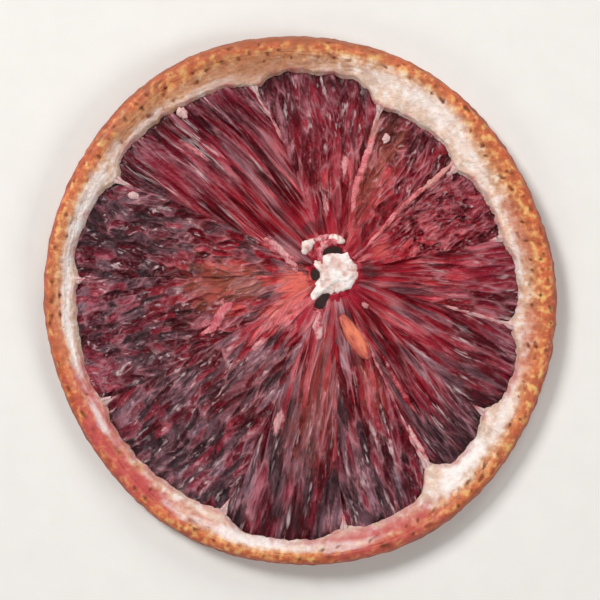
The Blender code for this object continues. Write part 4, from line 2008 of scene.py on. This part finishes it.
    def dress(self, piece: Piece, tints: dict[Tint, float], angle: Array, distance: Array) -> None:
        """Gives a strand or a crumb its finish.

        Args:
            piece: The piece.
            tints: Its tints and how strong each is. With none it is white, like the plug.
            angle: Directions from the core.
            distance: Distances from the core.
        """
        fleck = SmoothNoise(95).layered(angle / 4.0, distance / 0.8)
        masks = stain_masks({}, angle, distance)
        for tint, strength in tints.items():
            masks[tint] = np.clip(strength * (1.0 + 0.45 * fleck), 0.0, 1.0)
        if tints:
            self.dress_flesh(piece, masks, fleck, angle, distance)
            return
        masks[Tint.PALE] = np.clip(0.45 - 0.7 * fleck, 0.0, 1.0)
        masks[Tint.CRIMSON] = np.clip(0.42 + 0.5 * fleck, 0.0, 1.0)
        self.dress_white(piece, masks)

    def build_strand(self, strand: Strand) -> None:
        """Builds one strand along its path, sunk a little into the flesh.

        Args:
            strand: The strand.
        """
        turns, lengths = np.radians([turn for turn, _ in strand.path]), np.array([reach for _, reach in strand.path])
        knots = np.column_stack((lengths * np.cos(turns), lengths * np.sin(turns)))
        rows = round(float(np.linalg.norm(np.diff(knots, axis=0), axis=1).sum()) / self.strand_spacing)
        piece = dense_block(strand.name, self.strand_faces, rows)
        across, out, top = places_in_block(piece)
        step = out * (len(knots) - 1)
        knot = np.minimum(step.astype(int), len(knots) - 2)
        ends = np.vstack((2 * knots[0] - knots[1], knots, 2 * knots[-1] - knots[-2]))
        nearby, share = [ends[knot + shift] for shift in range(4)], (step - knot)[:, None]
        middle, heading = curve_through(nearby, share), curve_heading(nearby, share)
        heading = heading / np.linalg.norm(heading, axis=1)[:, None]
        aside = np.column_stack((-heading[:, 1], heading[:, 0]))
        seed = sum(map(ord, strand.name))
        ragged = SmoothNoise(seed).layered(out * rows / 6.0 + 9.0 * (across > 0.5), across * 2.0)
        taper = np.clip(4.0 * out * (1.0 - out), self.blunt, 1.0) ** self.taper
        offset = (2 * across - 1) * strand.half_width * taper * (1.0 + 0.35 * ragged)
        place = middle + aside * offset[:, None]
        distance, angle = np.hypot(*place.T), np.degrees(np.arctan2(place[:, 1], place[:, 0]))
        crown = np.sqrt(np.maximum(1.0 - (2 * across - 1) ** 2, 0.0)) * taper
        bumpy = SmoothNoise(seed + 1).layered(out * rows / 5.0, across * 2.5)
        sink = self.strand_sink
        height = self.upper.half - sink + (strand.rise + sink) * crown * (1.0 + 0.35 * bumpy)
        height = np.where(top, height, self.upper.half - self.strand_foot)
        move_points(piece, self.plan.place(distance, angle, height))
        self.dress(piece, strand.tints, angle, distance)

    def build_crumb(self, crumb: Crumb) -> None:
        """Builds one crumb, partly pulp and partly a painted highlight, sunk a little into the flesh.

        Args:
            crumb: The crumb.
        """
        piece = dense_ball(crumb.name, *self.crumb_faces)
        x, y, z = points_of(piece).T
        seed = sum(map(ord, crumb.name))
        lump = 1.0 + 0.30 * SmoothNoise(seed).layered(x * 2.0 + 5.0, y * 2.0 + z + 5.0)
        distance = crumb.distance + crumb.half_length * x * lump
        angle = crumb.angle + np.degrees(crumb.half_width * y * lump / crumb.distance)
        height = self.upper.half - self.crumb_sink + crumb.rise * z * lump
        move_points(piece, self.plan.place(distance, angle, height))
        self.dress(piece, crumb.tints, angle, distance)


# ------------ floor, light and camera


@dataclass(frozen=True)
class Studio:
    """A pale floor, soft light and a camera that looks straight down. Its lengths are in metres.

    Attributes:
        frame_width: What the camera sees from side to side.
        lens: The camera's focal length, in millimetres.
        sensor: Its sensor's width, in millimetres.
        floor: The floor's colour, with floor_size its side and floor_drop how far it lies under the slice.
        air: The colour of the even light, and air_strength its strength.
        softboxes: The lights, each with its name, place, side and power.
    """

    frame_width: float = 0.0655
    lens: float = 100.0
    sensor: float = 36.0
    floor: Colour = srgb(236, 233, 228)
    floor_size: float = 3.0
    floor_drop: float = 0.0001
    air: Colour = (1.0, 0.98, 0.96)
    air_strength: float = 0.14
    softboxes: tuple[tuple[str, tuple[float, float, float], float, float], ...] = (
        ("key_light", (-0.30, 0.30, 0.42), 0.16, 2.7),
        ("right_light", (0.42, -0.16, 0.36), 0.20, 1.0),
        ("back_light", (0.16, 0.44, 0.32), 0.20, 0.8),
        ("front_light", (-0.24, -0.42, 0.32), 0.20, 0.5),
    )

    def build(self) -> None:
        """Builds the floor, the lights and the camera."""
        self.build_floor()
        self.build_world()
        for softbox in self.softboxes:
            self.add_softbox(*softbox)
        self.build_camera()

    def build_floor(self) -> None:
        """Builds the plain floor."""
        deselect()
        bpy.ops.mesh.primitive_plane_add(size=self.floor_size, location=(0.0, 0.0, -self.floor_drop))
        floor = adopt("pale_floor")
        material, bench, shader = new_material("pale_floor")
        cloud = bench.remap(bench.noise(bench.place(), 300.0, 4.0), 0.3, 0.7, 0.97, 1.0)
        bench.feed(shader, {"Base Color": bench.scaled(self.floor, cloud), "Roughness": 0.8})
        floor.data.materials.append(material)

    def build_world(self) -> None:
        """Sets even light from all round."""
        world = bpy.data.worlds.new("studio")
        world.use_nodes = True
        background = world.node_tree.nodes["Background"]
        background.inputs["Color"].default_value = rgba(self.air)
        background.inputs["Strength"].default_value = self.air_strength
        bpy.context.scene.world = world
        bpy.context.scene.view_settings.view_transform = "Standard"

    def add_softbox(self, name: str, place: tuple[float, float, float], size: float, power: float) -> None:
        """Adds a square soft light that faces the slice.

        Args:
            name: The light's name.
            place: Where it stands.
            size: Its side.
            power: Its power in watts.
        """
        deselect()
        distance = math.dist(place, (0.0, 0.0, 0.0))
        tip = math.acos(place[2] / distance)
        turn = math.atan2(place[1], place[0]) + math.pi / 2
        bpy.ops.object.light_add(type="AREA", location=place, rotation=(tip, 0.0, turn))
        light = bpy.context.active_object
        light.name = name
        light.data.size = size
        light.data.energy = power

    def build_camera(self) -> None:
        """Adds the camera over the slice's middle."""
        deselect()
        distance = self.frame_width * self.lens / self.sensor
        bpy.ops.object.camera_add(location=(0.0, 0.0, distance), rotation=(0.0, 0.0, 0.0))
        camera = bpy.context.active_object
        camera.name = "camera"
        camera.data.lens = self.lens
        camera.data.sensor_width = self.sensor
        camera.data.clip_start = 0.01
        bpy.context.scene.camera = camera


def main() -> None:
    """Builds the slice and its studio."""
    logging.basicConfig(level=logging.INFO, format="%(name)s: %(message)s")
    Studio().build()
    mottle = fine_mottle_group()
    plan = SlicePlan()
    flesh_material = FleshFinish("dried_flesh_red", mottle).build()
    peel_material = RindFinish("dried_peel", mottle, 0.5, 0.15, 0.00012).build()
    pith_material = RindFinish("dried_pith", mottle, 0.85, 0.0, 0.00016).build()
    seed_material = SeedFinish("seed_coat", mottle).build()
    upper, under = FleshFace(plan, Side.UPPER), FleshFace(plan, Side.UNDER)
    Flesh(plan, upper, under, flesh_material).build()
    Rind(plan, peel_material, pith_material).build()
    Core(plan, upper, flesh_material, pith_material, seed_material).build()


if __name__ == "__main__":
    main()
